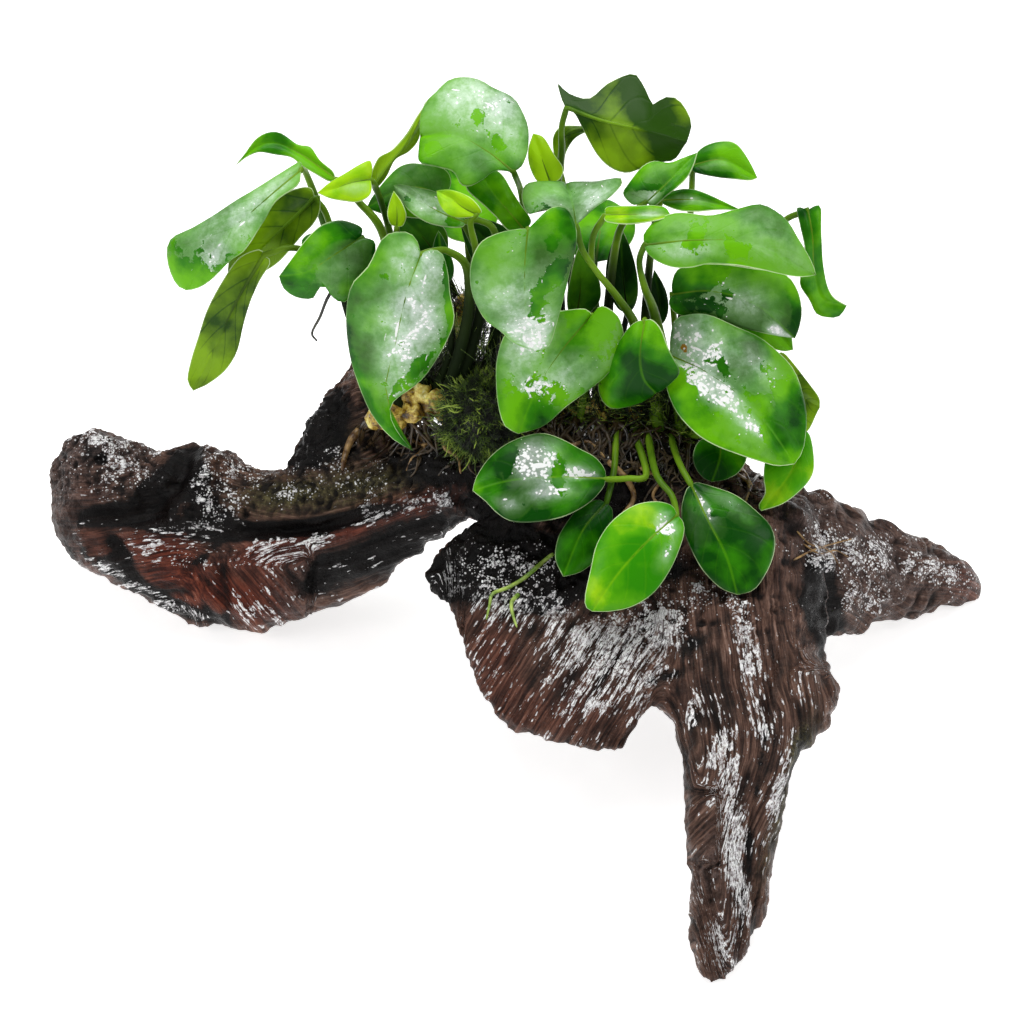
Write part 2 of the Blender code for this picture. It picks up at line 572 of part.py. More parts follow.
def moss():
    """Lumpy pad in front of the creeping stem."""
    bm = bmesh.new()
    bmesh.ops.create_icosphere(bm, subdivisions=3, radius=1.0)
    for vertex in bm.verts:
        place = vertex.co.copy()
        place *= 1.0 + 0.16 * noise.noise(place * 2.2)
        vertex.co = (seen(-10 + place.x * 12, 29 + place.y * 11, -6.5 + place.z * 5.0)) * MM
    return put("moss_pad", bm, MOSS)


def fattened(item, by):
    """Copy with its surface moved out, for cutting a bed."""
    copy = item.copy()
    copy.data = item.data.copy()
    bpy.context.collection.objects.link(copy)
    for vertex in copy.data.vertices:
        vertex.co += vertex.normal * (by * MM)
    return copy


def bed(item, lying, by=GAP):
    """Cut room in one body for the piece that lies on it."""
    tool = fattened(lying, by)
    boolean(item, tool, "DIFFERENCE")
    drop(tool)


def stand(wood):
    """Flatten the feet at the floor."""
    deep = Vector((0.0, 0.0, -60.0))
    wide = 400.0
    ring = [Vector((x * wide, y * wide, 0.0)) for x, y in ((-1, -1), (1, -1), (1, 1), (-1, 1))]
    block = slab([corner + deep for corner in ring], ring)
    boolean(wood, block, "DIFFERENCE")
    drop(block)


def build():
    wood = grown_wood()
    stand(wood)
    rhizome = stem()
    pad = moss()
    bed(pad, rhizome)
    lying = [rhizome, pad] + [root(name, *values, wood) for name, values in ROOTS.items()]
    for piece in lying:
        bed(wood, piece)
    for start, end in FORKS:
        saw(wood, start, end)
    split(wood)
    for name, spec in LEAVES.items():
        grown_leaf(name, spec)


build()
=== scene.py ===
"""Anubias nana rooted on a wet, branching piece of driftwood, on a pale studio floor.

Places are millimetres in the front view, as right, up and near to the eye. seen() turns them into millimetres
of the frame, and MM turns those into metres.
"""
import math
import random

import bpy
import bmesh
import numpy as np
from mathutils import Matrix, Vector, noise
from mathutils.bvhtree import BVHTree


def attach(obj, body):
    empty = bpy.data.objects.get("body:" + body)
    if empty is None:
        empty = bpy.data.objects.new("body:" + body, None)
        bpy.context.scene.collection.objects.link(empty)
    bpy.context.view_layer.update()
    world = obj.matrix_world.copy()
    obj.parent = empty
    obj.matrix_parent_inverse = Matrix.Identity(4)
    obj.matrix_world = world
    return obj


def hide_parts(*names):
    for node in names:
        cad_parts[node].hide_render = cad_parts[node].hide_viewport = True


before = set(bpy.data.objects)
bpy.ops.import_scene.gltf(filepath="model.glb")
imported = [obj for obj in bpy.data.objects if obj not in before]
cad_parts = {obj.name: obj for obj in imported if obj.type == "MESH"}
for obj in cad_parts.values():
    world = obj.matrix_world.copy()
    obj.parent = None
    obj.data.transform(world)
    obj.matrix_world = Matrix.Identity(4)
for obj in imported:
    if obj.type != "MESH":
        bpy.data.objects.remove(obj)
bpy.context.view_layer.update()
MM = 0.001

# Camera
# The plant is seen from the front and 40 degrees above level, from 90 cm, through a lens that takes in 32 cm.
TILT = math.radians(40.0)
EYE = 900.0
AIM = Vector((-0.7, 6.9, 74.4))
EYEWARD = Vector((0.0, -math.cos(TILT), math.sin(TILT)))
UPWARD = Vector((0.0, math.sin(TILT), math.cos(TILT)))
FIELD = 320.0
SENSOR = 36.0


def seen(right, up, near):
    """Place in the front view -> millimetres in the frame."""
    k = 1.0 - near / EYE
    return AIM + Vector((right * k, 0.0, 0.0)) + UPWARD * (up * k) + EYEWARD * near


def in_view(point):
    """Millimetres in the frame -> right, up, near in the front view."""
    away = point - AIM
    near = away.dot(EYEWARD)
    k = 1.0 - near / EYE
    return away.x / k, away.dot(UPWARD) / k, near


def smooth(low, high, value):
    """0 up to the low value and 1 from the high one, eased between."""
    x = min(max((value - low) / (high - low), 0.0), 1.0)
    return x * x * (3.0 - 2.0 * x)


lens = bpy.data.cameras.new("camera")
lens.sensor_width = SENSOR
lens.lens = SENSOR * EYE / FIELD
camera = bpy.data.objects.new("camera", lens)
camera.location = (AIM + EYEWARD * EYE) * MM
camera.rotation_euler = (math.pi / 2 - TILT, 0.0, 0.0)
bpy.context.collection.objects.link(camera)
bpy.context.scene.camera = camera

# Driftwood
# One grown piece of dense, long-soaked root wood: a knobbly left arm, a sawn stub behind it, a trunk under
# the plant, a split slab, a leg and a right arm. It is dark and wet, with fibres that stand out in the light.
WOOD_NODES = ["wood_left_arm", "wood_back_stub", "wood_trunk", "wood_slab", "wood_leg", "wood_right_arm"]
WOOD_SKIN = 1.0                   # spacing of the modelled surface, mm
SAW_FILL = 0.24                   # how far each sawn limb grows to close the gap to its neighbour, mm
SLAB_GRAIN = math.radians(58.0)   # how the slab's fibres climb in the view
FACET_GRAIN = math.radians(46.0)  # and those of the leg's flat facet
FOOT_HEIGHT = 1.2                 # below this, mm, the feet stay as flat as they rest

# Marks on the wood: right, up, half width, half height, turn in degrees and strength. Hollows and humps in mm
HOLLOWS = [
    (-129, 17, 2.6, 2.4, 0, 4.5), (-136, 21, 1.6, 1.2, 20, 1.5), (-133, 9, 2.0, 1.4, -20, 1.2),
    (-104, 13, 3.5, 8, -28, 6.0), (-113, 2, 4.0, 5.0, 10, 4.5), (-123, -1, 8, 2.2, -4, 3.0),
    (-72, -5.5, 16, 2.0, 5, 3.4), (-48, -1.5, 12, 1.8, 12, 2.4), (-90, -22, 1.6, 8, 8, 2.0),
    (-97, -15, 1.6, 6, -50, 1.6), (-122, -12, 2, 7, 40, 2.0), (-61, -20, 2.5, 6, -30, 1.6),
    (-61, 24, 2.0, 2.6, 0, 2.4), (-56, 33, 1.8, 2.0, 0, 2.0), (97.5, -27, 6.0, 9, 8, 1.6),
    (88, -6, 2.6, 2, 0, 1.6), (60, -65, 5, 1.8, -50, 1.3), (56, -41, 5, 2.4, 30, 1.4),
    (49, -51, 6, 1.6, 20, 1.3), (-24, -15, 2.4, 4, -30, 2.0), (8, -30, 4, 2, 0, 1.4),
    (72, -56, 2.2, 10, 10, 1.8), (83, -54, 1.8, 12, -12, 1.6), (62, -96, 5, 9, -38, 0.8),
    (62, -122, 2, 9, 0, 1.6), (76, -92, 1.2, 18, -6, 1.2), (76, -120, 1.4, 10, 4, 1.0),
    (103, -42, 3, 3, 0, 1.4),
]
HUMPS = [
    (-110, -11, 9, 7, -6, 2.6), (-74, -12, 12, 3.0, 8, 2.2), (-44, -1, 13, 3.0, 18, 2.2),
    (-20, 5, 5, 4, 30, 1.8), (-95, 15, 6, 5, 0, 2.2), (-96, 4, 6, 5, 0, 1.2), (-127, 13, 9, 8, 0, 1.2),
    (-80, -28, 8, 5, -30, 1.4), (112, -14, 6, 4, -20, 2.2), (126, -16, 4, 3, -20, 1.8),
    (91, -2, 4, 3, 0, 1.8), (104, -8, 4, 3, 0, 1.6), (107, -24, 4, 3, 0, 1.6), (118, -26, 3, 2.4, 0, 1.4),
    (98, -16, 3, 2.4, 0, 1.6), (119, -20, 2.6, 2.4, 0, 1.4), (91, -50, 4, 9, 16, 1.8),
    (68, -42, 4, 15, 0, 1.6), (69, -90, 3, 20, -2, 2.0), (82, -88, 2.6, 12, -12, 1.2),
    (76, -68, 4, 7, 10, 1.6), (22, 21, 9, 5, 0, 2.4), (-62, 28, 3, 4, 0, 1.8), (66, -136, 3, 9, 14, 1.2),
]
SWELLINGS = [
    (-31, 24, 12, 5, 0, 3.5), (-8, 25, 12, 4, 0, 2.4), (14, 26, 14, 4, 0, 2.6), (36, 25, 14, 4, 0, 2.6),
    (55, 22, 12, 4, 0, 2.4), (143, -20, 7, 5.5, 0, 2.6), (129, -13, 6, 4, -30, 1.2),
]
# The wood's own black, and painted shade where clefts, hollows and the wood under the plant lie in shadow
BLACK = [
    (-104, 13, 5, 9, -28, 1.0), (-112, 3, 6, 8, 0, 1.0), (-122, -1, 10, 3.4, 0, 0.95),
    (-133, -2, 6, 3, 0, 0.5), (-94, -4, 12, 5, 0, 0.85), (-97, 7, 8, 6, 0, 0.65), (-70, -5, 18, 2.8, 5, 0.95),
    (-48, -1, 12, 2.0, 12, 0.8), (-58, 30, 8, 12, 30, 0.8), (-66, 18, 8, 6, 0, 0.75),
    (-20, 20, 16, 9, 0, 1.0), (-30, -14, 9, 5, 30, 0.6), (-117, -22, 15, 2.6, -30, 0.95),
    (-98, -32, 12, 2.4, -16, 0.8), (-138, -11, 4, 7, 30, 0.5), (-10, -14, 18, 13, 0, 1.0),
    (-22, -18, 9, 9, 0, 1.0), (12, -20, 16, 9, 0, 1.0), (34, -16, 18, 9, 0, 0.9), (56, -41, 6, 4, 30, 0.3),
    (50, -51, 7, 2.2, 20, 0.25), (97, -27, 5, 12, 8, 1.0), (102, -40, 5, 5, 0, 0.7),
    (57, -72, 1.8, 9, 4, 0.6), (61, -65, 5, 2, -44, 0.25), (66, -60, 3, 2, 0, 0.4), (88, 0, 8, 6, 0, 0.4),
    (20, 12, 40, 14, 0, 0.9), (-128, 3, 6, 4, 0, 0.3), (84, -28, 3, 12, 0, 0.35), (62, -30, 4, 12, 0, 0.3),
    (78, -76, 2, 12, -8, 0.4), (74, -108, 1.6, 14, 0, 0.5), (-90, -23, 2, 9, 8, 0.2),
    (-98, -15, 2, 6, -50, 0.25), (-124, -12, 3, 8, 40, 0.45), (-60, -22, 8, 6, 0, 0.3),
    (-48, -15, 14, 6, 22, 0.8), (-34, -9, 9, 5, 30, 0.7),
]
RED = [
    (-110, -12, 12, 9, 0, 1.0), (-100, -24, 12, 8, -10, 0.9), (-80, -27, 12, 9, 0, 0.95),
    (-74, -12, 13, 5, 8, 1.0), (-56, -7, 10, 3.4, 10, 0.9), (-42, -1, 12, 4, 18, 0.9),
    (-23, 4, 10, 5, 24, 0.9), (-130, -14, 8, 8, 40, 0.6), (12, -62, 26, 9, 0, 0.4), (-6, -44, 9, 14, 0, 0.5),
    (141, -22, 5, 6, 0, 0.7), (-134, 0, 6, 8, 0, 0.3),
]
OLIVE = [
    (-76, 5, 10, 5, 6, 0.9), (-56, 7, 14, 6, 8, 1.0), (-34, 12, 12, 5, 12, 0.9),
    (85.5, -90, 2.6, 20, -16, 1.0), (91, -72, 3, 7, -30, 0.8), (-52, 22, 9, 5, 20, 0.6),
]
GREY = [
    (-55, -15, 12, 8, 0, 0.4), (-66, -24, 8, 6, 0, 0.5), (-141, 6, 5, 14, 0, 0.8), (-128, 22, 14, 6, 0, 0.8),
    (115, -17, 24, 14, -20, 0.7), (92, 0, 9, 8, 0, 0.5), (62, -112, 5, 12, 0, 0.5), (-36, -12, 8, 6, 0, 0.5),
    (-124, 12, 14, 9, 0, 0.5),
]
# Painted highlights: where the white glints of the wet film are painted into the wood's colour, and how
# thickly
GLINTS = [
    (-124, 14, 14, 10, 0, 0.8), (-131, 23, 10, 4, 0, 0.5), (-97, 9, 8, 6, 0, 0.65), (-91, -1, 10, 5, 0, 0.7),
    (-110, -9, 9, 3, 0, 0.48), (-108, -16, 11, 2, 0, 0.44), (-74, -12.5, 13, 4, 8, 0.6),
    (-62, -9, 8, 2, 8, 0.5), (-40, 0, 12, 3, 18, 0.5), (-23, 5, 7, 4, 24, 0.6), (-79, -29, 10, 6, -30, 0.42),
    (-92, -20, 3, 10, 10, 0.35), (-119, -22, 15, 1.4, -30, 0.75), (-100, -31, 9, 1.2, -25, 0.6),
    (-60, 7, 24, 4, 6, 0.5), (-82, 12, 9, 4, 0, 0.6), (-52, 20, 9, 3, 20, 0.6), (-60, 14, 7, 2, 0, 0.7),
    (-95, 20, 8, 3, 0, 0.5), (-64, 28, 5, 8, 0, 0.4), (-6, -18, 17, 10, 0, 0.72), (4, -31, 11, 6, 0, 0.75),
    (22, -41, 12, 9, 0, 0.75), (38, -40, 12, 11, 0, 0.98), (50, -34, 8, 8, 0, 0.8), (14, -55, 18, 9, 0, 0.32),
    (31, -58, 10, 7, 0, 0.6), (-10, -44, 6, 14, 0, 0.26), (20, -72, 16, 2, 0, 0.36),
    (59, -60, 8, 6, 40, 0.85), (65, -74, 4, 10, -10, 1.0), (70, -95, 3.4, 16, 0, 1.0),
    (70, -114, 2.6, 10, 8, 0.95), (66, -135, 3.6, 11, 16, 0.85), (73, -123, 2.4, 8, -4, 0.95),
    (82.5, -88, 2.4, 11, -12, 1.05), (74, -46, 4, 14, 0, 0.8), (71, -28, 4, 10, 0, 0.6),
    (80, -64, 5, 9, 10, 0.7), (63, -22, 6, 8, 0, 0.6), (90, -46, 5, 14, 0, 0.25), (62, -96, 5, 9, -38, 0.3),
    (97, -8, 7, 8, 0, 0.62), (112, -14, 15, 8, 0, 0.66), (109, -28, 7, 5, 0, 0.78), (134, -19, 9, 4, 0, 0.7),
    (24, 20, 10, 5, 0, 0.75),
]


def worked(right, up, marks):
    """Sum of the marks' strengths at a place of the view."""
    total = 0.0
    for mark_right, mark_up, wide, tall, turn, strength in marks:
        x = right - mark_right
        y = up - mark_up
        reach = 2.2 * max(wide, tall)
        if abs(x) > reach or abs(y) > reach:
            continue
        c = math.cos(math.radians(turn))
        s = math.sin(math.radians(turn))
        across = (x * c + y * s) / wide
        along = (y * c - x * s) / tall
        total += strength * math.exp(-0.7 * (across * across + along * along) ** 1.3)
    return total


def grain(right, up):
    """Millimetres across the fibres and along them: fibres run where the first stays the same."""
    # Each limb has its own, and the constants match them to their neighbours' where they meet
    arm_middle = -6.0 - 6.0 * math.cos((right + 95.0) / 40.0)
    leg_middle = 68.0 + 5.0 * smooth(-20.0, -70.0, up) - 10.0 * smooth(-70.0, -140.0, up)
    lean = 1.6 * math.sin(up / 9.0) * smooth(-44.0, -60.0, up)
    slab = Vector((right * math.sin(SLAB_GRAIN) - up * math.cos(SLAB_GRAIN),
                   right * math.cos(SLAB_GRAIN) + up * math.sin(SLAB_GRAIN)))
    leg = Vector((84.0 + (right + lean - leg_middle) * (1.0 + 0.9 * smooth(-60.0, -130.0, up)), up))
    facet = Vector((-24.0 + right * math.sin(FACET_GRAIN) - up * math.cos(FACET_GRAIN),
                    right * math.cos(FACET_GRAIN) + up * math.sin(FACET_GRAIN)))
    far_right = Vector((87.0 + up + 0.45 * right + 3.0 * math.sin(right / 6.0), right * 0.9 - up * 0.4))
    left = Vector((-20.0 + (up - arm_middle) * 1.1 + 4.0 * math.sin(right / 13.0), right))
    fan = Vector((-33.0 + 0.75 * (right + 104.0) + 0.65 * (up + 20.0), 0.65 * right - 0.75 * up))
    fanned = smooth(-8.0, -18.0, up) * smooth(-108.0, -94.0, right) * smooth(-61.0, -65.0, right)
    left = left.lerp(fan, fanned)
    way = slab.lerp(leg, smooth(45.0, 57.0, right + 0.15 * (up + 60.0)))
    way = way.lerp(facet, smooth(66.0, 63.0, right) * smooth(-85.0, -89.0, up) * smooth(-112.0, -108.0, up))
    way = way.lerp(far_right, smooth(86.0, 98.0, right) * smooth(-52.0, -44.0, up))
    return way.lerp(left, smooth(-14.0, -24.0, right))


def build_wood():
    """All limbs as one skin."""
    bm = bmesh.new()
    for name in WOOD_NODES:
        part = bmesh.new()
        part.from_mesh(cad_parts[name].data)
        bmesh.ops.remove_doubles(part, verts=part.verts, dist=1e-6)
        part.normal_update()
        for vertex in part.verts:
            lift = SAW_FILL if vertex.co.z > 1e-4 else 0.0
            vertex.co += vertex.normal * (lift * MM)
        limb = bpy.data.meshes.new("limb")
        part.to_mesh(limb)
        part.free()
        bm.from_mesh(limb)
        bpy.data.meshes.remove(limb)
    mesh = bpy.data.meshes.new("driftwood")
    bm.to_mesh(mesh)
    bm.free()
    wood = bpy.data.objects.new("driftwood", mesh)
    bpy.context.collection.objects.link(wood)
    skin = wood.modifiers.new("skin", "REMESH")
    skin.mode = "VOXEL"
    skin.voxel_size = WOOD_SKIN * MM
    ease = wood.modifiers.new("ease", "SMOOTH")
    ease.factor = 0.5
    ease.iterations = 8
    graph = bpy.context.evaluated_depsgraph_get()
    wood.data = bpy.data.meshes.new_from_object(wood.evaluated_get(graph))
    wood.modifiers.clear()
    return wood


WOOD_SHARES = {"black": BLACK, "red": RED, "olive": OLIVE, "grey": GREY, "glint": GLINTS}
WOOD_VALUES = ("across", "along", "hatch", "split", "relief", *WOOD_SHARES)


def work_wood(wood):
    """Lumps, pits and fibres, and the share of each kind of surface, of painted shade and of painted glints
    for the finish.
    """
    mesh = wood.data
    count = len(mesh.vertices)
    shares = {name: np.zeros(count, np.float32) for name in WOOD_VALUES}
    moved = np.zeros((count, 3), np.float32)
    offset = Vector((31.0, 7.0, 3.0))
    for i, vertex in enumerate(mesh.vertices):
        spot = vertex.co / MM
        right, up, near = in_view(spot)
        front = smooth(-0.1, 0.35, vertex.normal.dot(EYEWARD))
        across, along = grain(right, up)
        # Where the wood is split into fibres and not knobbly: the slab, the leg and the left arm's lower face
        slab = smooth(46.0, 38.0, right) * smooth(-24.0, -34.0, up + 0.25 * right)
        leg = smooth(38.0, 50.0, right) * smooth(-34.0, -46.0, up) * smooth(100.0, 92.0, right)
        arm_low = smooth(-14.0, -24.0, right) * smooth(4.0, -6.0, up - 0.12 * (right + 60.0))
        split = max(slab, leg, arm_low)
        # Knobbly bark, with knuckles on the right arm, whose nose is smoother
        lump = noise.noise(spot / 5.5 + offset)
        pits = noise.noise(spot / 1.9 + offset * 2)
        pores = abs(noise.noise(spot / 3.2 - offset))
        knuckles = abs(noise.noise(spot / 6.2 - offset))
        knuckled = smooth(80.0, 92.0, right)
        rough = 1.3 * lump + 0.6 * pits * (1.0 - 0.6 * knuckled) - 2.4 * pores * (1.0 - knuckled)
        rough += (2.5 * knuckles - 0.8) * knuckled
        rough *= 1.0 - 0.65 * smooth(132.0, 142.0, right)
        # Fibres 1.5 mm wide in bundles of 4.5 mm
        thread = Vector((across / 1.5, along / 20.0, near / 40.0))
        grooves = noise.noise(thread) + 0.6 * noise.noise(thread * 2.1 + offset)
        bundles = noise.noise(Vector((across / 4.5, along / 36.0, 4.0)))
        fibrous = 0.6 * grooves + 0.9 * bundles + 0.35 * lump
        deep = front * worked(right, up, HOLLOWS)
        raised = front * worked(right, up, HUMPS)
        move = (1.0 - 0.75 * split) * rough * (1.0 - min(deep / 3.0, 0.8)) + split * fibrous
        move += raised + worked(right, up, SWELLINGS) - deep
        if spot.z < FOOT_HEIGHT:
            move *= smooth(0.0, FOOT_HEIGHT, spot.z) * 0.5
        moved[i] = (spot + vertex.normal * move) * MM
        moved[i, 2] = max(moved[i, 2], 0.0)
        shares["across"][i] = across
        shares["along"][i] = along
        # Painted highlights: how thick the glints are by the marks, and how strongly they streak along the
        # fibres
        lit = worked(right, up, GLINTS)
        shares["hatch"][i] = max(slab * (0.3 + 0.8 * smooth(0.25, 0.75, lit)), 0.4 * leg, 0.25 * arm_low)
        shares["split"][i] = split
        # High and low places: the finish paints glints on the high ones and shade in the low ones
        high = (1.0 - split) * smooth(-1.7, 0.6, rough) + split * smooth(-1.0, 1.0, fibrous)
        shares["relief"][i] = high + 0.12 * raised
        for name, marks in WOOD_SHARES.items():
            shares[name][i] = front * worked(right, up, marks)
        # Painted shade: the deeper a hollow, the blacker it is painted, and the fewer glints it takes
        shares["black"][i] = min(shares["black"][i] + deep / 4.5, 1.0)
        shares["glint"][i] -= 0.2 * deep
        shares["grey"][i] += (1.0 - front) * 0.5 * (1.0 - split)
    for name, values in shares.items():
        mesh.attributes.new(name, "FLOAT", "POINT").data.foreach_set("value", values)
    mesh.vertices.foreach_set("co", moved.ravel())
    mesh.update()
    mesh.shade_smooth()


def linear(hex_colour):
    """sRGB hex -> linear colour with alpha."""
    values = [int(hex_colour[i:i + 2], 16) / 255.0 for i in (1, 3, 5)]
    return [v / 12.92 if v <= 0.04045 else ((v + 0.055) / 1.055) ** 2.4 for v in values] + [1.0]


def feed(tree, node, feeds):
    """Gives a node's inputs, by name or in order, the nodes, sockets, hex colours or numbers they take."""
    for key, value in feeds.items() if isinstance(feeds, dict) else enumerate(feeds):
        if isinstance(value, bpy.types.Node):
            value = next(socket for socket in value.outputs if socket.enabled)
        if isinstance(value, bpy.types.NodeSocket):
            tree.links.new(value, node.inputs[key])
        else:
            node.inputs[key].default_value = linear(value) if isinstance(value, str) else value


def add(tree, kind, feeds=(), stops=(), **settings):
    """A node with its settings, its links and, for a ramp, its stops."""
    made = tree.nodes.new("ShaderNode" + kind)
    for key, value in settings.items():
        setattr(made, key, value)
    for position, _ in stops[2:]:
        made.color_ramp.elements.new(position)
    for point, (position, colour) in zip(made.color_ramp.elements if stops else (), stops):
        point.position = position
        point.color = linear(colour) if isinstance(colour, str) else (colour, colour, colour, 1.0)
    feed(tree, made, feeds)
    return made


# The scale of a pattern says how many of its cells go into a metre: 1250.0 puts one in every 0.8 mm
def finished(name, build):
    """Material whose look the given function builds, from its node tree and shader."""
    made = bpy.data.materials.new(name)
    made.use_nodes = True
    build(made.node_tree, made.node_tree.nodes["Principled BSDF"])
    return made


def droplets(tree, where, scale, spread, least, border, full):
    """Painted glints, one in each cell of a pattern: the least width and, by chance, some of the spread on
    top.
    """
    cells = add(tree, "TexVoronoi", {"Vector": where, "Scale": scale, "Randomness": 1.0})
    own = add(tree, "SeparateColor", [cells.outputs["Color"]])
    size = add(tree, "Math", (own, spread, least), operation="MULTIPLY_ADD")
    inside = add(tree, "Math", (size, cells), operation="SUBTRACT")
    return add(tree, "ValToRGB", [inside], ((0.0, 0.0), (border, full)))


# Soaked hardwood, hand-split by weather and never planed: brown on the worn faces, and near black in the pits
# by painted shade. It shows fine fibres, and a film of water whose painted highlights break up into white
# glints half a millimetre wide.
def wet_driftwood(tree, shader):
    surface = add(tree, "TexCoord").outputs["Object"]
    share = {name: add(tree, "Attribute", attribute_name=name).outputs["Fac"] for name in WOOD_VALUES}
    # Fibres 0.7 mm wide and some 15 mm long
    wide = add(tree, "Math", (share["across"], 0.9), operation="MULTIPLY")
    long = add(tree, "Math", (share["along"], 0.06), operation="MULTIPLY")
    lane = add(tree, "CombineXYZ", (wide, long))
    threads = add(tree, "TexNoise", {"Vector": lane, "Scale": 1.0, "Detail": 4.0, "Roughness": 0.7})
    patches, grit = (
        add(tree, "TexNoise", {"Vector": surface, "Scale": scale, "Detail": detail, "Roughness": rough})
        for scale, detail, rough in ((90, 5, 0.65), (620, 4, 0.7)))
    colour = add(tree, "ValToRGB", [threads],
                 ((0.3, "#110a08"), (0.44, "#3c2922"), (0.57, "#684d41"), (0.72, "#9a7d6f")))
    red = add(tree, "ValToRGB", [threads],
              ((0.3, "#120504"), (0.45, "#43190f"), (0.6, "#733624"), (0.76, "#a96c56")))
    olive = add(tree, "ValToRGB", [grit], ((0.35, "#14130a"), (0.5, "#38341f"), (0.68, "#67603f")))
    grey = add(tree, "ValToRGB", [grit], ((0.35, "#0f0b0a"), (0.5, "#3c302d"), (0.66, "#7b6a65")))
    covers = []
    for name, tint in (("red", red), ("olive", olive), ("grey", grey)):
        covers.append((add(tree, "Math", (share[name], 0.9), operation="MULTIPLY", use_clamp=True), tint))
    # Painted shade: what lies low in the relief is darkened, and the black marks and hollows go near black
    low = add(tree, "Math", (patches, 0.9, share["relief"]), operation="MULTIPLY_ADD")
    low = add(tree, "ValToRGB", [low], ((0.5, 0.94), (0.8, 0.42), (1.0, 0.0)))
    dark = add(tree, "Math", (patches, 1.5, -0.75), operation="MULTIPLY_ADD")
    dark = add(tree, "Math", (share["black"], dark), operation="ADD")
    dark = add(tree, "ValToRGB", [dark], ((0.2, 0.0), (0.6, 0.98)))
    covers += [(low, "#070404"), (dark, "#030202")]
    # Painted highlights: the film's glints are widest where the marks say, on high places and along single
    # fibres
    streak = add(tree, "Math", (threads, -0.5), operation="ADD")
    streak = add(tree, "Math", (streak, share["hatch"]), operation="MULTIPLY")
    thick = -1.26
    for part, strength in ((patches, 1.6), (streak, 6.5), (share["glint"], 0.76), (share["relief"], 0.5),
                           (share["split"], 0.09)):
        thick = add(tree, "Math", (part, strength, thick), operation="MULTIPLY_ADD")
    cell_wide = add(tree, "Math", (share["across"], 1.15), operation="MULTIPLY")
    cell_long = add(tree, "Math", (share["along"], 0.36), operation="MULTIPLY")
    cell = add(tree, "CombineXYZ", (cell_wide, cell_long))
    bent = add(tree, "TexNoise", {"Vector": surface, "Scale": 500.0, "Detail": 2.0})
    bent = add(tree, "VectorMath", (bent.outputs["Color"], (-0.5, -0.5, -0.5)), operation="ADD")
    bent = add(tree, "VectorMath", {0: bent, "Scale": 1.1}, operation="SCALE")
    cell = add(tree, "VectorMath", (cell, bent), operation="ADD")
    # On split wood the painted glints are 0.8 mm wide, drawn out along the fibres. On the knobbly bark they
    # are round and half a millimetre wide, with a drop twice as wide here and there
    patterns = []
    for where, scale, spread, least, border in (
            (cell, 1.0, 0.5, -0.2, 0.07), (surface, 1250.0, 0.7, -0.42, 0.1),
            (surface, 560.0, 0.9, -0.72, 0.12)):
        least = add(tree, "Math", (thick, least), operation="ADD")
        patterns.append(droplets(tree, where, scale, spread, least, border, 1.0))
    drawn_out, crumbs, drops = patterns
    crumbs = add(tree, "Math", (crumbs, drops), operation="MAXIMUM")
    glints = add(tree, "Mix", {0: share["split"], 2: crumbs, 3: drawn_out})
    holes = add(tree, "TexNoise", {"Vector": cell, "Scale": 1.7, "Detail": 3.0, "Roughness": 0.7})
    whole = add(tree, "ValToRGB", [holes], ((0.42, 0.1), (0.5, 1.0)))
    glints = add(tree, "Math", (glints, whole), operation="MULTIPLY")
    # Over the wood's colour go red, olive and grey, then painted shade, then the painted glints in white
    bright = add(tree, "ValToRGB", [grit], ((0.32, "#a8a0a2"), (0.44, "#e2dfe1"), (0.54, "#ffffff")))
    for cover, over in (*covers, (glints, bright)):
        colour = add(tree, "Mix", {0: cover, 6: colour, 7: over}, data_type="RGBA")
    wet = add(tree, "ValToRGB", [patches], ((0.4, 0.45), (0.62, 0.2)))
    height = add(tree, "Math", (threads, 0.9, grit), operation="MULTIPLY_ADD")
    height = add(tree, "Math", (glints, 0.3, height), operation="MULTIPLY_ADD")
    bump = add(tree, "Bump", {"Height": height, "Strength": 1.0, "Distance": 0.0007})
    feed(tree, shader, {"Base Color": colour, "Roughness": wet, "Normal": bump})
    shader.inputs["IOR"].default_value = 1.45
    shader.inputs["Specular IOR Level"].default_value = 0.16


driftwood = build_wood()
work_wood(driftwood)
driftwood.data.materials.clear()
driftwood.data.materials.append(finished("wet_driftwood", wet_driftwood))
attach(driftwood, "root")
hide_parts(*WOOD_NODES)

# Rhizome
# The living, creeping stem that carries the leaves, as thick as a pencil, and its upright shoot. It is tan,
# ringed by old leaf scars, and holds itself to the trunk with its roots.
STEM_LINE = [
    (-38, 34, -19), (-27, 34, -17), (-12, 33, -16), (8, 32, -15), (30, 31, -14), (46, 28, -15), (58, 24, -19),
]
SHOOT = [(-15, 40, -19), (-17, 47, -20), (-17.5, 55, -20), (-16, 62, -19), (-14, 68, -19)]
RHIZOME = 4.2                     # radius, mm
SHOOT_RADIUS = 3.3
STEM_STEPS = 64                   # rings of mesh along a stem
# Knotted left end of the stem: right, up, near and radius of each knot
KNOTS = [
    (-42, 29.5, -15, 3.6), (-38, 33, -15, 4.0), (-33, 36, -15, 4.0), (-28.5, 36.5, -14, 4.2),
    (-24, 34, -13, 4.4), (-19.5, 30, -12, 4.0), (-17, 26.5, -11, 3.2), (-31, 31, -13, 3.4),
    (-36, 28, -14, 3.0), (8, 29, -11, 3.0), (20, 32, -12, 3.6), (28, 29, -11, 3.2), (46, 26, -12, 3.2),
    (38, 30, -12, 3.4),
]


def spline(points, t):
    """Smooth curve through points, t from 0 to 1."""
    pts = [points[0] * 2 - points[1]] + list(points) + [points[-1] * 2 - points[-2]]
    spans = len(pts) - 3
    x = min(max(t, 0.0), 1.0) * spans
    i = min(int(x), spans - 1)
    f = x - i
    a, b, c, d = pts[i:i + 4]
    bend = (a * 2 - b * 5 + c * 4 - d) * f ** 2 + (b * 3 - a - c * 3 + d) * f ** 3
    return 0.5 * (b * 2 + (c - a) * f + bend)


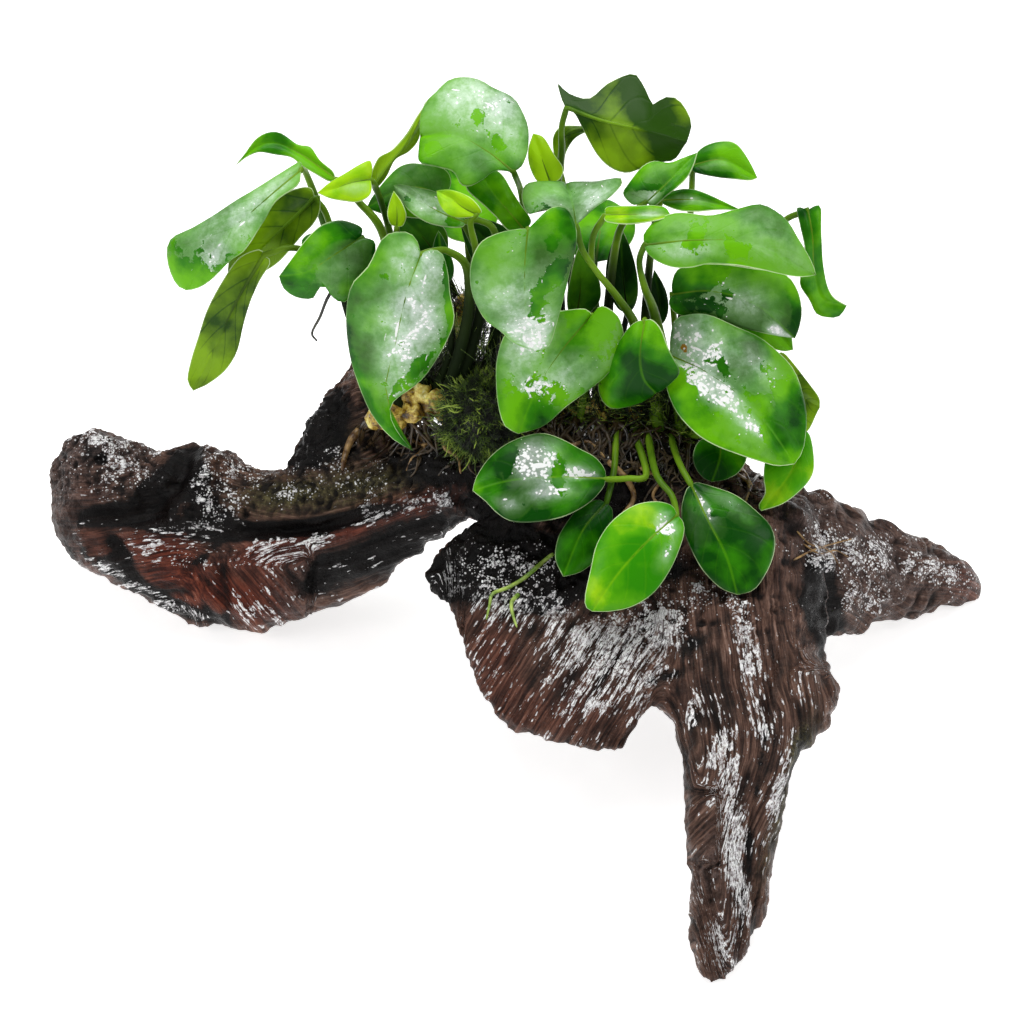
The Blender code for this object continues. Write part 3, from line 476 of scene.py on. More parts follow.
def tube(bm, points, radii, sides=10, flat=1.0):
    """Stem through points in mm, closed at both ends, and round unless it is made flat."""
    loops = []
    frame_up = Vector((0.0, 0.3, 1.0))
    for i, point in enumerate(points):
        way = (points[min(i + 1, len(points) - 1)] - points[max(i - 1, 0)]).normalized()
        side = way.cross(frame_up).normalized()
        frame_up = side.cross(way).normalized()
        loop = []
        for n in range(sides):
            turn = math.tau * n / sides
            out = side * math.cos(turn) + frame_up * (math.sin(turn) * flat)
            loop.append(bm.verts.new((point + out * radii[i]) * MM))
        loops.append(loop)
    for low, high in zip(loops, loops[1:]):
        for i in range(sides):
            j = (i + 1) % sides
            bm.faces.new((low[i], low[j], high[j], high[i]))
    bm.faces.new(list(reversed(loops[0])))
    bm.faces.new(loops[-1])


def place(bm, name, finish, slot, *nodes):
    """Mesh -> piece that rides with the part and stands for its nodes."""
    bmesh.ops.recalc_face_normals(bm, faces=bm.faces)
    mesh = bpy.data.meshes.new(name)
    bm.to_mesh(mesh)
    bm.free()
    mesh.shade_smooth()
    mesh.materials.append(finish)
    item = bpy.data.objects.new(name, mesh)
    bpy.context.collection.objects.link(item)
    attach(item, "root")
    if nodes:
        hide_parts(*nodes)


# Living plant stem: waxy tan skin with yellow scars and brown crevices, satin and wet, with painted
# highlights in its palest blotches
def rhizome_skin(tree, shader):
    surface = add(tree, "TexCoord").outputs["Object"]
    blotch = add(tree, "TexNoise", {"Vector": surface, "Scale": 170.0, "Detail": 6.0, "Roughness": 0.68})
    fine = add(tree, "TexNoise", {"Vector": surface, "Scale": 700.0, "Detail": 2.0})
    tan = ((0.35, "#1a1007"), (0.43, "#6a4f1e"), (0.5, "#b99a3e"), (0.57, "#e6d673"), (0.66, "#fcf6c8"))
    colour = add(tree, "ValToRGB", [blotch], tan)
    gloss = add(tree, "ValToRGB", [fine], ((0.3, 0.18), (0.7, 0.4)))
    height = add(tree, "Math", (fine, 0.3, blotch), operation="MULTIPLY_ADD")
    bump = add(tree, "Bump", {"Height": height, "Strength": 0.8, "Distance": 0.0008})
    feed(tree, shader, {"Base Color": colour, "Roughness": gloss, "Normal": bump})


def ringed_stem(name, line, radius, rings, finish, knots=()):
    """Stem with a swelling at each old leaf scar, and knots where it once branched."""
    bm = bmesh.new()
    shares = [i / STEM_STEPS for i in range(STEM_STEPS + 1)]
    radii = []
    for t in shares:
        ends = min(1.0, (t + 0.02) * 12.0, (1.02 - t) * 12.0)
        scar = abs(math.sin(t * rings * math.pi)) ** 0.6
        radii.append(radius * math.sqrt(ends) * (0.80 + 0.16 * scar))
    tube(bm, [spline([seen(*p) for p in line], t) for t in shares], radii, sides=18)
    for vertex in bm.verts:
        vertex.co.z += noise.noise(vertex.co / MM / 3.0) * 0.5 * MM
    for right, up, near, size in knots:
        knot = bmesh.ops.create_icosphere(bm, subdivisions=3, radius=1.0)
        for vertex in knot["verts"]:
            wide = size * (1.0 + 0.55 * noise.noise(vertex.co * 1.6 + Vector((right, up, 0))))
            vertex.co = (seen(right, up, near) + vertex.co * wide) * MM
    place(bm, name, finish, "rhizome", name)


tan_skin = finished("rhizome_skin", rhizome_skin)
ringed_stem("rhizome", STEM_LINE, RHIZOME, 17, tan_skin, KNOTS)
ringed_stem("rhizome_shoot", SHOOT, SHOOT_RADIUS, 6, tan_skin)

# Leaves
# Thick, waxy, heart-shaped blades on round stalks that rise from the rhizome, wet from the tank. The upper
# side is deep green, with the sky's reflection in its film of water painted in as pale haze and white glints;
# the lower side is a dull olive.
RISE = 32.0                       # how much nearer the highest leaves stand, mm
BLADE = 0.62                      # thickness, mm
STALK = 1.05                      # radius, mm
DOME = 0.05                       # crown of a half blade, as a share of its width
RIPPLE = 0.6                      # of the blade's edge, mm
VEINS = 3.4                       # distance between side veins, mm
ROWS = 30                         # rows of a blade from base to tip
COLUMNS = (0.0, 0.07, 0.2, 0.36, 0.52, 0.68, 0.82, 0.93, 1.0)   # and its places from midrib to edge


def rise(up):
    """How much nearer to the eye a leaf stands than its written place: the higher, the more upright it is."""
    return RISE * smooth(34.0, 94.0, up)


def grown(right, up, near):
    """Place of a leaf in the frame."""
    return seen(right, up, near + rise(up))


def foot(s, angle):
    """Where a stalk leaves the creeping stem: s along it, angle in degrees from up towards the eye."""
    line = [seen(*p) for p in STEM_LINE]
    along = (spline(line, min(s + 0.02, 1.0)) - spline(line, max(s - 0.02, 0.0))).normalized()
    upward = Vector((0, 0, 1)) - along * along.z
    upward.normalize()
    eyeward = along.cross(upward)
    if eyeward.dot(EYEWARD) < 0:
        eyeward = -eyeward
    turn = math.radians(angle)
    return spline(line, s), upward * math.cos(turn) + eyeward * math.sin(turn)


def travelled(points, t):
    """Place at a share of a broken line's length, rounded through its corners."""
    pts = [Vector((*p, 0.0)) for p in points]
    lengths = [(q - p).length for p, q in zip(pts, pts[1:])]
    goal = t * sum(lengths)
    for i, length in enumerate(lengths):
        if goal <= length or i == len(lengths) - 1:
            share = (i + min(goal / max(length, 1e-6), 1.0)) / len(lengths)
            return spline(pts, share)
        goal -= length


LEAF_VALUES = ("across", "along", "side", "rim", "film", "seed", "width", "torn", "beads", "dark", "tone",
               "mist", "spot")


def blade_grid(spec):
    """Rows across the blade from base to tip: share of the length, place of the midrib, and both edges."""
    mid = spec["mid"]
    flat_line = [Vector(p) for p in mid]
    sides = [[mid[0][:2]] + spec[side] + [mid[-1][:2]] for side in ("left", "right")]
    widest = max(sum((travelled(ends, t).xy - spline(flat_line, t).xy).length for ends in sides)
                 for t in (0.2, 0.35, 0.5, 0.65))
    rows = []
    for i in range(ROWS + 1):
        t = (i / ROWS) ** 1.15
        flat = spline(flat_line, t)
        edges = []
        for ends, droop, sign in zip(sides, spec["droop"], (-1, 1)):
            edge = travelled(ends, t)
            reach = (edge.xy - flat.xy).length / widest * 2.0
            edges.append((grown(edge.x, edge.y, flat.z + droop * min(reach, 1.3)), reach, sign))
        rows.append((t, grown(*flat), edges))
    return rows


def blade_normals(rows, face):
    """Way out of the blade's upper side at each row. Face is -1 for a leaf that shows its lower side."""
    normals = []
    for i, (_, _, (left, right)) in enumerate(rows):
        along = (rows[min(i + 1, ROWS)][1] - rows[max(i - 1, 0)][1]).normalized()
        spread = right[0] - left[0]
        if spread.length < 1e-3:
            spread = normals[-1].cross(along) if normals else Vector((1, 0, 0))
        normal = spread.cross(along)
        normal = normal.normalized() if normal.length > 1e-6 else Vector(normals[-1])
        if normals and normal.dot(normals[-1]) < 0:
            normal = -normal
        normals.append(normal)
    turned = 1 if sum(n.dot(EYEWARD) for n in normals) * face > 0 else -1
    return [n * turned for n in normals]


def marked(spots, across, along, steep):
    """Strength of the strongest mark, such as a share of the painted film glare, at a place of the blade."""
    total = 0.0
    for spot_across, spot_along, wide, tall, strength in spots:
        x = (across - spot_across) / wide
        y = (along - spot_along) / tall
        total = max(total, strength * math.exp(-(x * x + y * y) ** steep))
    return total


def build_leaf(name, spec, finish, slot):
    """Stalk, midrib and blade as one mesh."""
    bm = bmesh.new()
    layers = {key: bm.verts.layers.float.new(key) for key in LEAF_VALUES}
    rows = blade_grid(spec)
    normals = blade_normals(rows, spec["face"])
    line = [grown(*p) for p in spec["mid"]]
    length = sum((q - p).length for p, q in zip(line, line[1:]))
    seed = int(name[-2:]) * 0.37 % 1.0
    grids = []
    for side in (1, -1):
        grid = []
        for i, (t, middle, edges) in enumerate(rows):
            row = []
            for edge, reach, sign in edges:
                half_width = (edge - middle).length
                for w in COLUMNS if sign > 0 else reversed(COLUMNS[1:]):
                    point = middle.lerp(edge, w)
                    arch = DOME * half_width * 4.0 * w * (1.0 - w)
                    crease = -0.5 * math.exp(-(w * half_width / 1.1) ** 2)
                    vein = 0.05 * math.sin((t * length / VEINS - w * 2.2) * math.tau)
                    vein *= smooth(0.05, 0.3, w) * smooth(1.0, 0.8, w)
                    wave = RIPPLE * w ** 3 * math.sin(t * 9.0 + sign * 1.7 + seed * 20.0) * min(reach, 1.0)
                    lump = 0.5 * noise.noise(point / 9.0) * w
                    thin = BLADE / 2 * (1.0 - 0.72 * w ** 6) * (1.0 if 0 < i < ROWS else 0.3)
                    out = arch + crease + vein + wave + lump + side * thin
                    vertex = bm.verts.new((point + normals[i] * out) * MM)
                    across = sign * w
                    values = {"across": across, "along": t, "side": 0.0 if side > 0 else 1.0, "seed": seed,
                              "rim": (1.0 - w) * half_width, "width": half_width,
                              "film": marked(spec["film"], across, t, 1.2),
                              "torn": marked(spec["torn"], across, t, 0.75),
                              "spot": marked(spec["spots"], across, t, 1.0)}
                    for key in LEAF_VALUES:
                        vertex[layers[key]] = values[key] if key in values else spec[key]
                    row.append(vertex)
            grid.append(row)
        grids.append(grid)
    top, under = grids
    last = len(top[0]) - 1
    for i in range(ROWS):
        for j in range(last):
            bm.faces.new((top[i][j], top[i][j + 1], top[i + 1][j + 1], top[i + 1][j]))
            bm.faces.new((under[i][j], under[i + 1][j], under[i + 1][j + 1], under[i][j + 1]))
        for j in (0, last):
            bm.faces.new((top[i][j], top[i + 1][j], under[i + 1][j], under[i][j]))
    for i in (0, ROWS):
        for j in range(last):
            bm.faces.new((top[i][j], under[i][j], under[i][j + 1], top[i][j + 1]))
    bmesh.ops.remove_doubles(bm, verts=bm.verts, dist=0.02 * MM)
    # The stalk, wider at its sheath on the rhizome, goes on below the blade as its midrib
    start, out = foot(*spec["root"])
    path = [start + out * RHIZOME * 0.8, start + out * (RHIZOME + 1.5)]
    path += [grown(*p) for p in spec["via"]] + [rows[0][1] - normals[0] * 0.3]
    count = 6 * len(path)
    points = [spline(path, n / count) for n in range(count + 1)]
    sheath = 0.3 if spec["root"][1] > 65 else 1.3
    radii = [STALK * (0.95 + sheath * smooth(0.8, 0.0, n / count)) for n in range(count + 1)]
    radii[-1] *= 0.9
    rib = [rows[n][1] - normals[n] * (0.35 + 0.3 * (1 - n / ROWS)) for n in range(1, ROWS - 1, 3)]
    points += rib
    radii += [STALK * 0.72 * (1.0 - 0.88 * (n + 1) / len(rib)) for n in range(len(rib))]
    blade = set(bm.verts)
    tube(bm, points, radii)
    for vertex in bm.verts:
        if vertex not in blade:
            vertex[layers["side"]] = 2.0
            vertex[layers["rim"]] = 5.0
            vertex[layers["seed"]] = seed
            right, up, near = in_view(vertex.co / MM)
            # Painted shade: a stalk low in the crown and far from the eye is darkened
            shade = 20.0 * smooth(5.0, 30.0, right)
            shade = 0.85 * smooth(8.0 - shade, -8.0 - 1.4 * shade, near - rise(up))
            vertex[layers["dark"]] = max(spec["dark"], shade * smooth(92.0, 66.0, up))
    place(bm, name, finish, slot, name)


def leaf_skin(deep, mid_green, light, under_dark, under_light):
    """Waxy leaf: a cellulose skin over green flesh, grown smooth. It is glossy, with a painted reflection
    where the
    film of water mirrors the sky: a pale haze and white glints, torn open where it has run off."""
    def look(tree, shader):
        surface = add(tree, "TexCoord").outputs["Object"]
        share = {name: add(tree, "Attribute", attribute_name=name).outputs["Fac"] for name in LEAF_VALUES}
        shift = add(tree, "VectorMath", (surface, share["seed"]), operation="ADD")
        cloud, ragged, crumbs, fine = (
            add(tree, "TexNoise", {"Vector": shift, "Scale": scale, "Detail": detail, "Roughness": rough})
            for scale, detail, rough in ((48, 3, 0.5), (130, 8, 0.66), (430, 5, 0.72), (900, 2, 0.6)))
        tone = -0.64
        for part, strength in ((share["tone"], 1.0), (ragged, 0.4), (cloud, 1.88)):
            tone = add(tree, "Math", (part, strength, tone), operation="MULTIPLY_ADD")
        green = add(tree, "ValToRGB", [tone], ((0.3, deep), (0.52, mid_green), (0.74, light)))
        # Side veins, 3 mm apart, that sweep from the midrib towards the tip
        out = add(tree, "Math", [share["across"]], operation="ABSOLUTE")
        sweep = add(tree, "Math", (out, -3.2), operation="MULTIPLY")
        lane = add(tree, "Math", (share["along"], 11.0, sweep), operation="MULTIPLY_ADD")
        wave = add(tree, "Math", (lane, 1.0), operation="PINGPONG")
        vein = add(tree, "ValToRGB", [wave], ((0.0, 1.0), (0.16, 0.0)))
        faint = add(tree, "Math", (vein, 0.05), operation="MULTIPLY")
        from_rib = add(tree, "Math", (out, share["width"]), operation="MULTIPLY")
        rib = add(tree, "ValToRGB", [from_rib], ((0.0, 0.32), (0.6, 0.0)))
        # Dull lower side, and the stalk, with painted shade where the crown shades it
        veined = add(tree, "Math", (vein, -0.12, tone), operation="MULTIPLY_ADD")
        under = add(tree, "ValToRGB", [veined], ((0.3, under_dark), (0.7, under_light)))
        below = add(tree, "Math", (share["side"], 0.5), operation="GREATER_THAN")
        stalk = add(tree, "ValToRGB", [cloud], ((0.35, "#33580c"), (0.65, "#7ba524")))
        dim = add(tree, "Mix", {0: share["dark"], 6: stalk, 7: "#0d1a04"}, data_type="RGBA")
        on_stalk = add(tree, "Math", (share["side"], 1.5), operation="GREATER_THAN")
        # Painted highlight along the rim, a fifth of a millimetre wide and broken
        edge = add(tree, "ValToRGB", [share["rim"]], ((0.16, 0.85), (0.3, 0.0)))
        some = add(tree, "ValToRGB", [cloud], ((0.42, 0.15), (0.56, 1.0)))
        edge = add(tree, "Math", (edge, some), operation="MULTIPLY")
        # Painted reflection of the water film: a soft haze, torn by clear islands with crumbled borders,
        # whitest where thickest
        above = add(tree, "Math", (share["side"], 0.5), operation="LESS_THAN")
        torn = -1.5
        for part, strength in ((ragged, 2.2), (crumbs, 0.8), (share["torn"], 1.0)):
            torn = add(tree, "Math", (part, strength, torn), operation="MULTIPLY_ADD")
        clear = add(tree, "ValToRGB", [torn], ((0.33, 1.0), (0.39, 0.0)))
        haze = add(tree, "Math", (ragged, 1.3), operation="MULTIPLY")
        haze = add(tree, "Math", (crumbs, 0.5, haze), operation="MULTIPLY_ADD")
        haze = add(tree, "Math", (vein, -0.07, haze), operation="MULTIPLY_ADD")
        for part in (share["film"], above, clear):
            haze = add(tree, "Math", (haze, part), operation="MULTIPLY")
        veil = add(tree, "ValToRGB", [haze], ((0.17, 0.0), (0.22, 0.22), (0.5, 0.45), (0.8, 0.7), (1.0, 0.8)))
        veil = add(tree, "Math", (veil, share["mist"]), operation="MULTIPLY")
        pale = add(tree, "ValToRGB", [haze],
                   ((0.3, "#6d9c4c"), (0.6, "#98c088"), (0.84, "#cfe4d0"), (1.0, "#f2faf4")))
        # Amber spots where the blade has begun to rot
        rot = add(tree, "Math", (crumbs, 0.9, share["spot"]), operation="MULTIPLY_ADD")
        rot = add(tree, "ValToRGB", [rot], ((0.95, 0.0), (1.08, 0.95)))
        # Painted glints: beads and crumbs of water, half a millimetre wide, along the film's borders
        border = add(tree, "ValToRGB", [torn], ((0.0, 0.2), (0.24, 1.0), (0.4, 1.0), (0.5, 0.2)))
        spread = add(tree, "Math", (share["beads"], 0.55), operation="MULTIPLY")
        for part in (border, share["film"]):
            spread = add(tree, "Math", (spread, part), operation="MULTIPLY")
        crowd = add(tree, "ValToRGB", [haze], ((0.74, 0.0), (0.96, 0.8)))
        crowd = add(tree, "Math", (crowd, 0.55, -0.1), operation="MULTIPLY_ADD")
        bead = droplets(tree, shift, 780.0, spread, crowd, 0.06, 0.95)
        # Painted dashes of light, a quarter of a millimetre by two, where a ripple of the film turns to the
        # light
        dash_across = add(tree, "Math", (share["across"], share["width"]), operation="MULTIPLY")
        dash_across = add(tree, "Math", (dash_across, 0.62), operation="MULTIPLY")
        dash_along = add(tree, "Math", (share["along"], 9.0), operation="MULTIPLY")
        dash_place = add(tree, "CombineXYZ", (dash_across, dash_along, share["seed"]))
        bend = add(tree, "Math", (crumbs, 0.5), operation="MULTIPLY")
        dash_place = add(tree, "VectorMath", (dash_place, bend), operation="ADD")
        spread = add(tree, "Math", (share["film"], 0.7), operation="MULTIPLY")
        dash = droplets(tree, dash_place, 1.0, spread, -0.3, 0.05, 0.9)
        bead = add(tree, "Math", (bead, dash), operation="MAXIMUM")
        bead = add(tree, "Math", (bead, above), operation="MULTIPLY")
        # Over the green: veins, midrib, lower side, stalk, painted rim highlight, painted haze, rot, painted
        # glints, painted shade
        for cover, over in ((faint, light), (rib, light), (below, under), (on_stalk, dim), (edge, "#d6ecb4"),
                            (veil, pale), (rot, "#a8761a"), (bead, "#ffffff"), (share["dark"], "#081204")):
            green = add(tree, "Mix", {0: cover, 6: green, 7: over}, data_type="RGBA")
        gloss = add(tree, "ValToRGB", [haze], ((0.0, 0.3), (0.6, 0.14)))
        gloss = add(tree, "Math", (share["dark"], 0.6, gloss), operation="MULTIPLY_ADD")
        height = cloud
        for part, strength in ((vein, -0.14), (fine, 0.1), (clear, 0.15), (bead, 0.6)):
            height = add(tree, "Math", (part, strength, height), operation="MULTIPLY_ADD")
        bump = add(tree, "Bump", {"Height": height, "Strength": 0.5, "Distance": 0.0005})
        feed(tree, shader, {"Base Color": green, "Roughness": gloss, "Normal": bump})
        shader.inputs["IOR"].default_value = 1.45
        shader.inputs["Specular IOR Level"].default_value = 0.14
    return look


LEAF_SKIN = finished("waxy_leaf", leaf_skin("#084202", "#2f7c04", "#66b20c", "#234604", "#7ba412"))
YOUNG_SKIN = finished("young_leaf", leaf_skin("#2f8a02", "#57a806", "#a0d214", "#5f8606", "#9cbe12"))
# Per leaf: film glare, bead glints and glare share are painted reflection of the wet film; dark is painted
# shade
LEAF_MARKS = {"film": (), "torn": (), "spots": (), "beads": 0.7, "dark": 0.0, "tone": 0.0, "mist": 1.0}


def spindle(mid, way):
    """Outline of a plain narrow leaf, from how far it reaches to one side."""
    points = []
    for t, share in ((0.06, 0.5), (0.2, 0.86), (0.36, 1.0), (0.55, 0.9), (0.75, 0.62), (0.9, 0.3)):
        at = spline([Vector(p) for p in mid], t)
        points.append((at.x + way[0] * share, at.y + way[1] * share))
    return points


def leaf(name, root, via, mid, left, right, droop, face=1, young=False, **marks):
    """Leaf from its root on the stem, places the stalk passes, midrib, both outlines and how far the edges
    fall away. Marks of film glare (painted reflection), of its torn gaps and of spots are across, along,
    their reach both ways and strength."""
    if isinstance(left, tuple):
        left, right = spindle(mid, left), spindle(mid, right)
    spec = {"root": root, "via": via, "mid": mid, "left": left, "right": right, "droop": droop, "face": face,
            **LEAF_MARKS, **marks}
    finish, slot = (YOUNG_SKIN, "young_leaf") if young else (LEAF_SKIN, "leaf")
    build_leaf(name, spec, finish, slot)


# Upper left
leaf("leaf_01", (0.03, -75), [(-52, 72, -48), (-62, 100, -42), (-66, 109, -26)],
     [(-66, 107, -2), (-79, 96, 3), (-92, 84, 3), (-102, 69, -1)],
     [(-66, 109.5), (-72, 106), (-80, 101), (-90, 95), (-100, 89), (-107, 85), (-107.3, 78), (-105, 71.5)],
     [(-66, 105), (-67, 102), (-74, 97), (-78, 90), (-83, 82), (-88, 78.5), (-94, 72.5), (-98, 70)], (-6, 2),
     film=[(0.0, 0.4, 1.6, 0.6, 0.85), (0.3, 0.75, 0.8, 0.2, 1.05)],
     torn=[(0.3, 1.0, 1.6, 0.22, 1.1), (0.9, 0.8, 0.4, 0.2, 0.6)], tone=0.24, mist=0.95)
leaf("leaf_02", (0.0, -25), [(-50, 60, -26), (-57, 90, -18)],
     [(-61.5, 98, -15), (-70, 90, -13), (-80, 81, -13), (-89, 73, -15)],
     [(-63, 101.5), (-68, 101), (-75, 97), (-82, 90), (-88, 80)],
     [(-60, 99), (-60, 94), (-62, 90), (-66, 86), (-73, 78), (-80, 74), (-86, 71.5)], (-2, 0), face=-1)
leaf("leaf_03", (0.0, 10), [(-50, 60, -22), (-56, 78, -12), (-68, 82.5, -4)],
     [(-77.5, 80.5, -2), (-85, 68, 0), (-92, 54, 0), (-99.5, 38, -3)],
     [(-79, 82), (-85, 79.5), (-90, 73), (-95, 64), (-98, 55), (-100.5, 47), (-101.5, 41)],
     [(-75.5, 78), (-79, 72), (-82, 65), (-84, 58), (-86, 50), (-90, 44), (-95, 40)], (-2, -2), face=-1)
leaf("leaf_04", (0.08, 0), [(-37, 62, -26), (-40, 86, -19), (-48, 97, -14), (-53, 101.5, -10)],
     [(-55, 104, -8), (-61, 108.5, -7), (-67, 112.5, -7), (-74, 115.3, -7), (-80, 114, -7),
      (-86.5, 108.5, -8)],
     [(-56, 106.5), (-60, 110), (-63, 114.3), (-67, 115), (-72, 118.3), (-76, 118.5), (-80, 116.5),
      (-84, 111.5)],
     [(-57, 103.3), (-62, 105.8), (-66, 108.2), (-69, 110.7), (-74, 111.8), (-79, 112.5),
      (-83, 110.8)], (0, 1), tone=0.22)
leaf("leaf_05", (0.11, -20), [(-35, 60, -30), (-38, 86, -24), (-42, 100, -12)],
     [(-44, 104, -3), (-50, 103, -1), (-56, 101, -1), (-61, 99.8, -2)],
     [(-43.5, 107.5), (-44.2, 110), (-47, 109), (-52, 105.8), (-57, 103)],
     [(-44, 100.5), (-45, 98.3), (-48, 96.9), (-52, 97.2), (-57, 98)], (-1, 1),
     film=[(0.3, 0.3, 0.5, 0.3, 0.6)], young=True, tone=0.25)
leaf("leaf_06", (0.14, -40), [(-32, 64, -36), (-40, 94, -24)],
     [(-43, 102, -17), (-39, 108, -16), (-34, 114, -16), (-30, 121, -16), (-26.5, 129, -17)],
     [(-44.5, 104), (-42, 110.5), (-37.5, 113.2), (-33, 118), (-30, 123.5)],
     [(-41.5, 102), (-39, 105), (-36.5, 110), (-32.5, 112.5), (-29.5, 116), (-28, 121)], (0, -2), face=-1,
     tone=0.25)
leaf("leaf_07", (0.40, -30), [(-2, 60, -38), (4, 84, -33), (3, 99, -28)],
     [(0.5, 106.5, -8), (-8, 113, -9), (-18, 118, -10), (-28.8, 117.5, -14)],
     [(3, 108), (5, 113), (5.2, 120), (3, 125.5), (0, 129.5), (-6, 132.5), (-10, 135), (-15, 136), (-20, 135),
      (-24, 131.5), (-27.5, 128), (-28.7, 123)],
     [(-1, 106.5), (-5.5, 106.5), (-9, 104), (-13, 102), (-16, 102.5), (-18.5, 106.5), (-24, 108),
      (-29, 109.5)], (-6, 3), film=[(-0.6, 0.5, 0.7, 0.5, 0.95), (0.4, 0.45, 0.7, 0.5, 0.5)],
     torn=[(0.5, 0.75, 0.2, 0.1, 0.8), (-0.4, 0.5, 0.2, 0.06, 0.7), (-0.2, 0.3, 0.15, 0.1, 0.7)], tone=0.14)
leaf("leaf_08", (0.33, -60), [(-5, 50, -34), (-6, 68, -37), (-14, 88, -31)],
     [(-21, 98, -24), (-29, 101.5, -24), (-37, 100, -24), (-45.5, 95, -25)],
     [(-19, 103), (-21, 107), (-27, 108.5), (-32, 109), (-36, 107.5), (-40, 103.5), (-44, 98)],
     [(-21, 94), (-27, 92), (-33, 92), (-40, 93)], (-2, 0), film=[(-0.3, 0.4, 1.0, 0.6, 0.5)])
leaf("leaf_09", (0.17, 0), [(-34, 60, -19), (-36, 80, -16)],
     [(-36, 89, -13), (-36, 94.5, -12), (-37, 100.5, -12)], [(-38, 90), (-39, 93), (-38.5, 96.5)],
     [(-33.8, 89.8), (-33, 93), (-34.5, 97)], (0, 0), young=True, tone=0.3)
leaf("leaf_10", (0.36, -20), [(-4, 64, -24), (-5, 86, -15), (-10, 91, -14)],
     [(-14.5, 90.5, -15), (-22, 93.5, -14), (-30, 98, -14), (-37.2, 102.3, -18)],
     [(-15, 92.5), (-18, 96), (-24, 100.5), (-30, 101.5), (-35, 102.3)],
     [(-15.5, 89), (-20, 89), (-27, 90.5), (-32, 94), (-35.5, 99)], (-2, 2),
     film=[(0.1, 0.5, 1.2, 0.6, 0.95)], torn=[(0.4, 0.75, 0.4, 0.1, 0.8), (0.5, 0.2, 0.4, 0.1, 0.8)])
leaf("leaf_11", (0.28, 20), [(-10, 62, -10), (-11, 80, -6), (-13, 90, -5)],
     [(-11, 93, -4), (-15, 95, -3), (-19, 98, -3), (-23.7, 100.6, -4)],
     [(-9.5, 94), (-12, 97.5), (-15, 99.5), (-19, 100.6)],
     [(-13, 92), (-18, 92), (-21, 93.5), (-23, 97)], (0, 1), young=True, tone=0.3)
leaf("leaf_12", (0.44, 10), [(6, 58, -24), (6, 76, -24)],
     [(4, 88, -23), (-1, 94, -23), (-6, 100, -25), (-9.5, 105.5, -27)],
     [(6, 91), (3, 96), (0, 100.5), (-3, 105), (-6, 107)],
     [(-1, 88), (-5, 92), (-9, 96), (-14, 101), (-13.5, 104)], (-2, 2))

# Middle
leaf("leaf_13", (0.80, 0), [(38.5, 48, -14), (38.5, 58, -11), (33, 67, -8), (27, 74.5, -7), (22, 82, -7)],
     [(20, 90, -6), (19, 96, -12), (17, 103, -23)],
     [(18, 92.5), (10, 94.5), (5, 93.5), (3, 98.5), (5, 102.5), (12, 103.3)],
     [(22, 91.5), (26, 95), (31, 98.5), (34.3, 103), (33, 105), (25, 103.3)], (-4, -4),
     film=[(-0.5, 0.4, 0.8, 0.8, 0.7), (0.5, 0.4, 0.8, 0.8, 0.8)], torn=[(-0.6, 0.3, 0.25, 0.15, 0.9)])
leaf("leaf_14", (0.48, 50), [(8, 48, -9), (8.5, 68, -3), (6.5, 84, 7)],
     [(5, 88.5, 14), (4, 76, 18), (4.5, 62, 18), (7, 50, 14)],
     [(2, 88.5), (-4, 87.3), (-9.5, 84.5), (-12.5, 79), (-13.2, 73), (-12, 67), (-8.5, 60.5), (-4, 57),
      (1, 52.5)],
     [(7, 90.5), (12, 95), (17, 95), (19.8, 90), (20.2, 84), (18.5, 76), (16.5, 68), (14, 59),
      (11.5, 52)], (-5, -5),
     film=[(0.0, 0.86, 1.2, 0.28, 1.2), (-0.2, 0.55, 1.2, 0.3, 0.8), (-0.3, 0.2, 1.0, 0.4, 0.5)],
     torn=[(0.5, 0.5, 0.3, 0.1, 0.85), (0.25, 0.62, 0.2, 0.07, 0.8), (0.55, 0.3, 0.12, 0.05, 0.8)],
     beads=1.0, tone=0.06)
leaf("leaf_15", (0.60, 70), [(24, 45, -2), (27, 57, 0)],
     [(25, 61.5, 3), (16, 51, 8), (8, 39, 10), (2, 24.3, 6)],
     [(23, 63.5), (16, 63), (5, 61), (-2, 56), (-4.7, 48), (-5, 40), (-4.3, 33), (-2.3, 27)],
     [(28, 64.5), (33, 61.5), (35, 55), (34, 49), (30, 43), (24, 38), (17, 33), (10, 27)], (-5, -3),
     film=[(0.3, 0.55, 0.8, 0.24, 0.8), (-0.6, 0.45, 0.5, 0.3, 0.95), (0.1, 0.68, 0.8, 0.12, 1.2),
           (0.8, 0.3, 0.25, 0.3, 0.6)],
     torn=[(0.0, 1.0, 1.6, 0.26, 1.1), (0.6, 0.2, 0.5, 0.18, 0.7), (-0.3, 0.1, 0.6, 0.14, 0.9)],
     beads=1.1, tone=0.14)
leaf("leaf_16", (0.25, 20), [(-14, 60, -6), (-14, 76, -2), (-20, 81.5, 4), (-25, 81.5, 9)],
     [(-28.5, 80.5, 13), (-33, 68, 20), (-36.5, 52, 21), (-39.5, 36, 15), (-31, 19, 8)],
     [(-29.5, 84.5), (-32, 87.2), (-36, 87.6), (-40.5, 85.5), (-45, 77), (-50, 71.5), (-51.7, 64),
      (-51.5, 55), (-50, 46), (-47, 37), (-43.5, 30), (-38, 23.5)],
     [(-26, 82), (-22, 81), (-20, 75), (-19.3, 68), (-18, 60), (-20.5, 53), (-26, 44), (-31, 39), (-37, 34.5),
      (-38, 29.5), (-34.5, 23)], (-6, -5),
     film=[(0.25, 0.4, 0.9, 0.45, 1.0), (0.5, 0.12, 0.8, 0.2, 0.95), (-0.4, 0.12, 0.6, 0.2, 0.85),
           (0.5, 0.72, 0.5, 0.16, 1.05), (-0.5, 0.4, 0.5, 0.3, 0.5)],
     torn=[(0.75, 0.56, 0.3, 0.06, 0.85), (0.45, 0.7, 0.22, 0.05, 0.9), (0.5, 0.84, 0.9, 0.1, 0.95),
           (0.95, 0.3, 0.12, 0.2, 0.9)], beads=1.0)
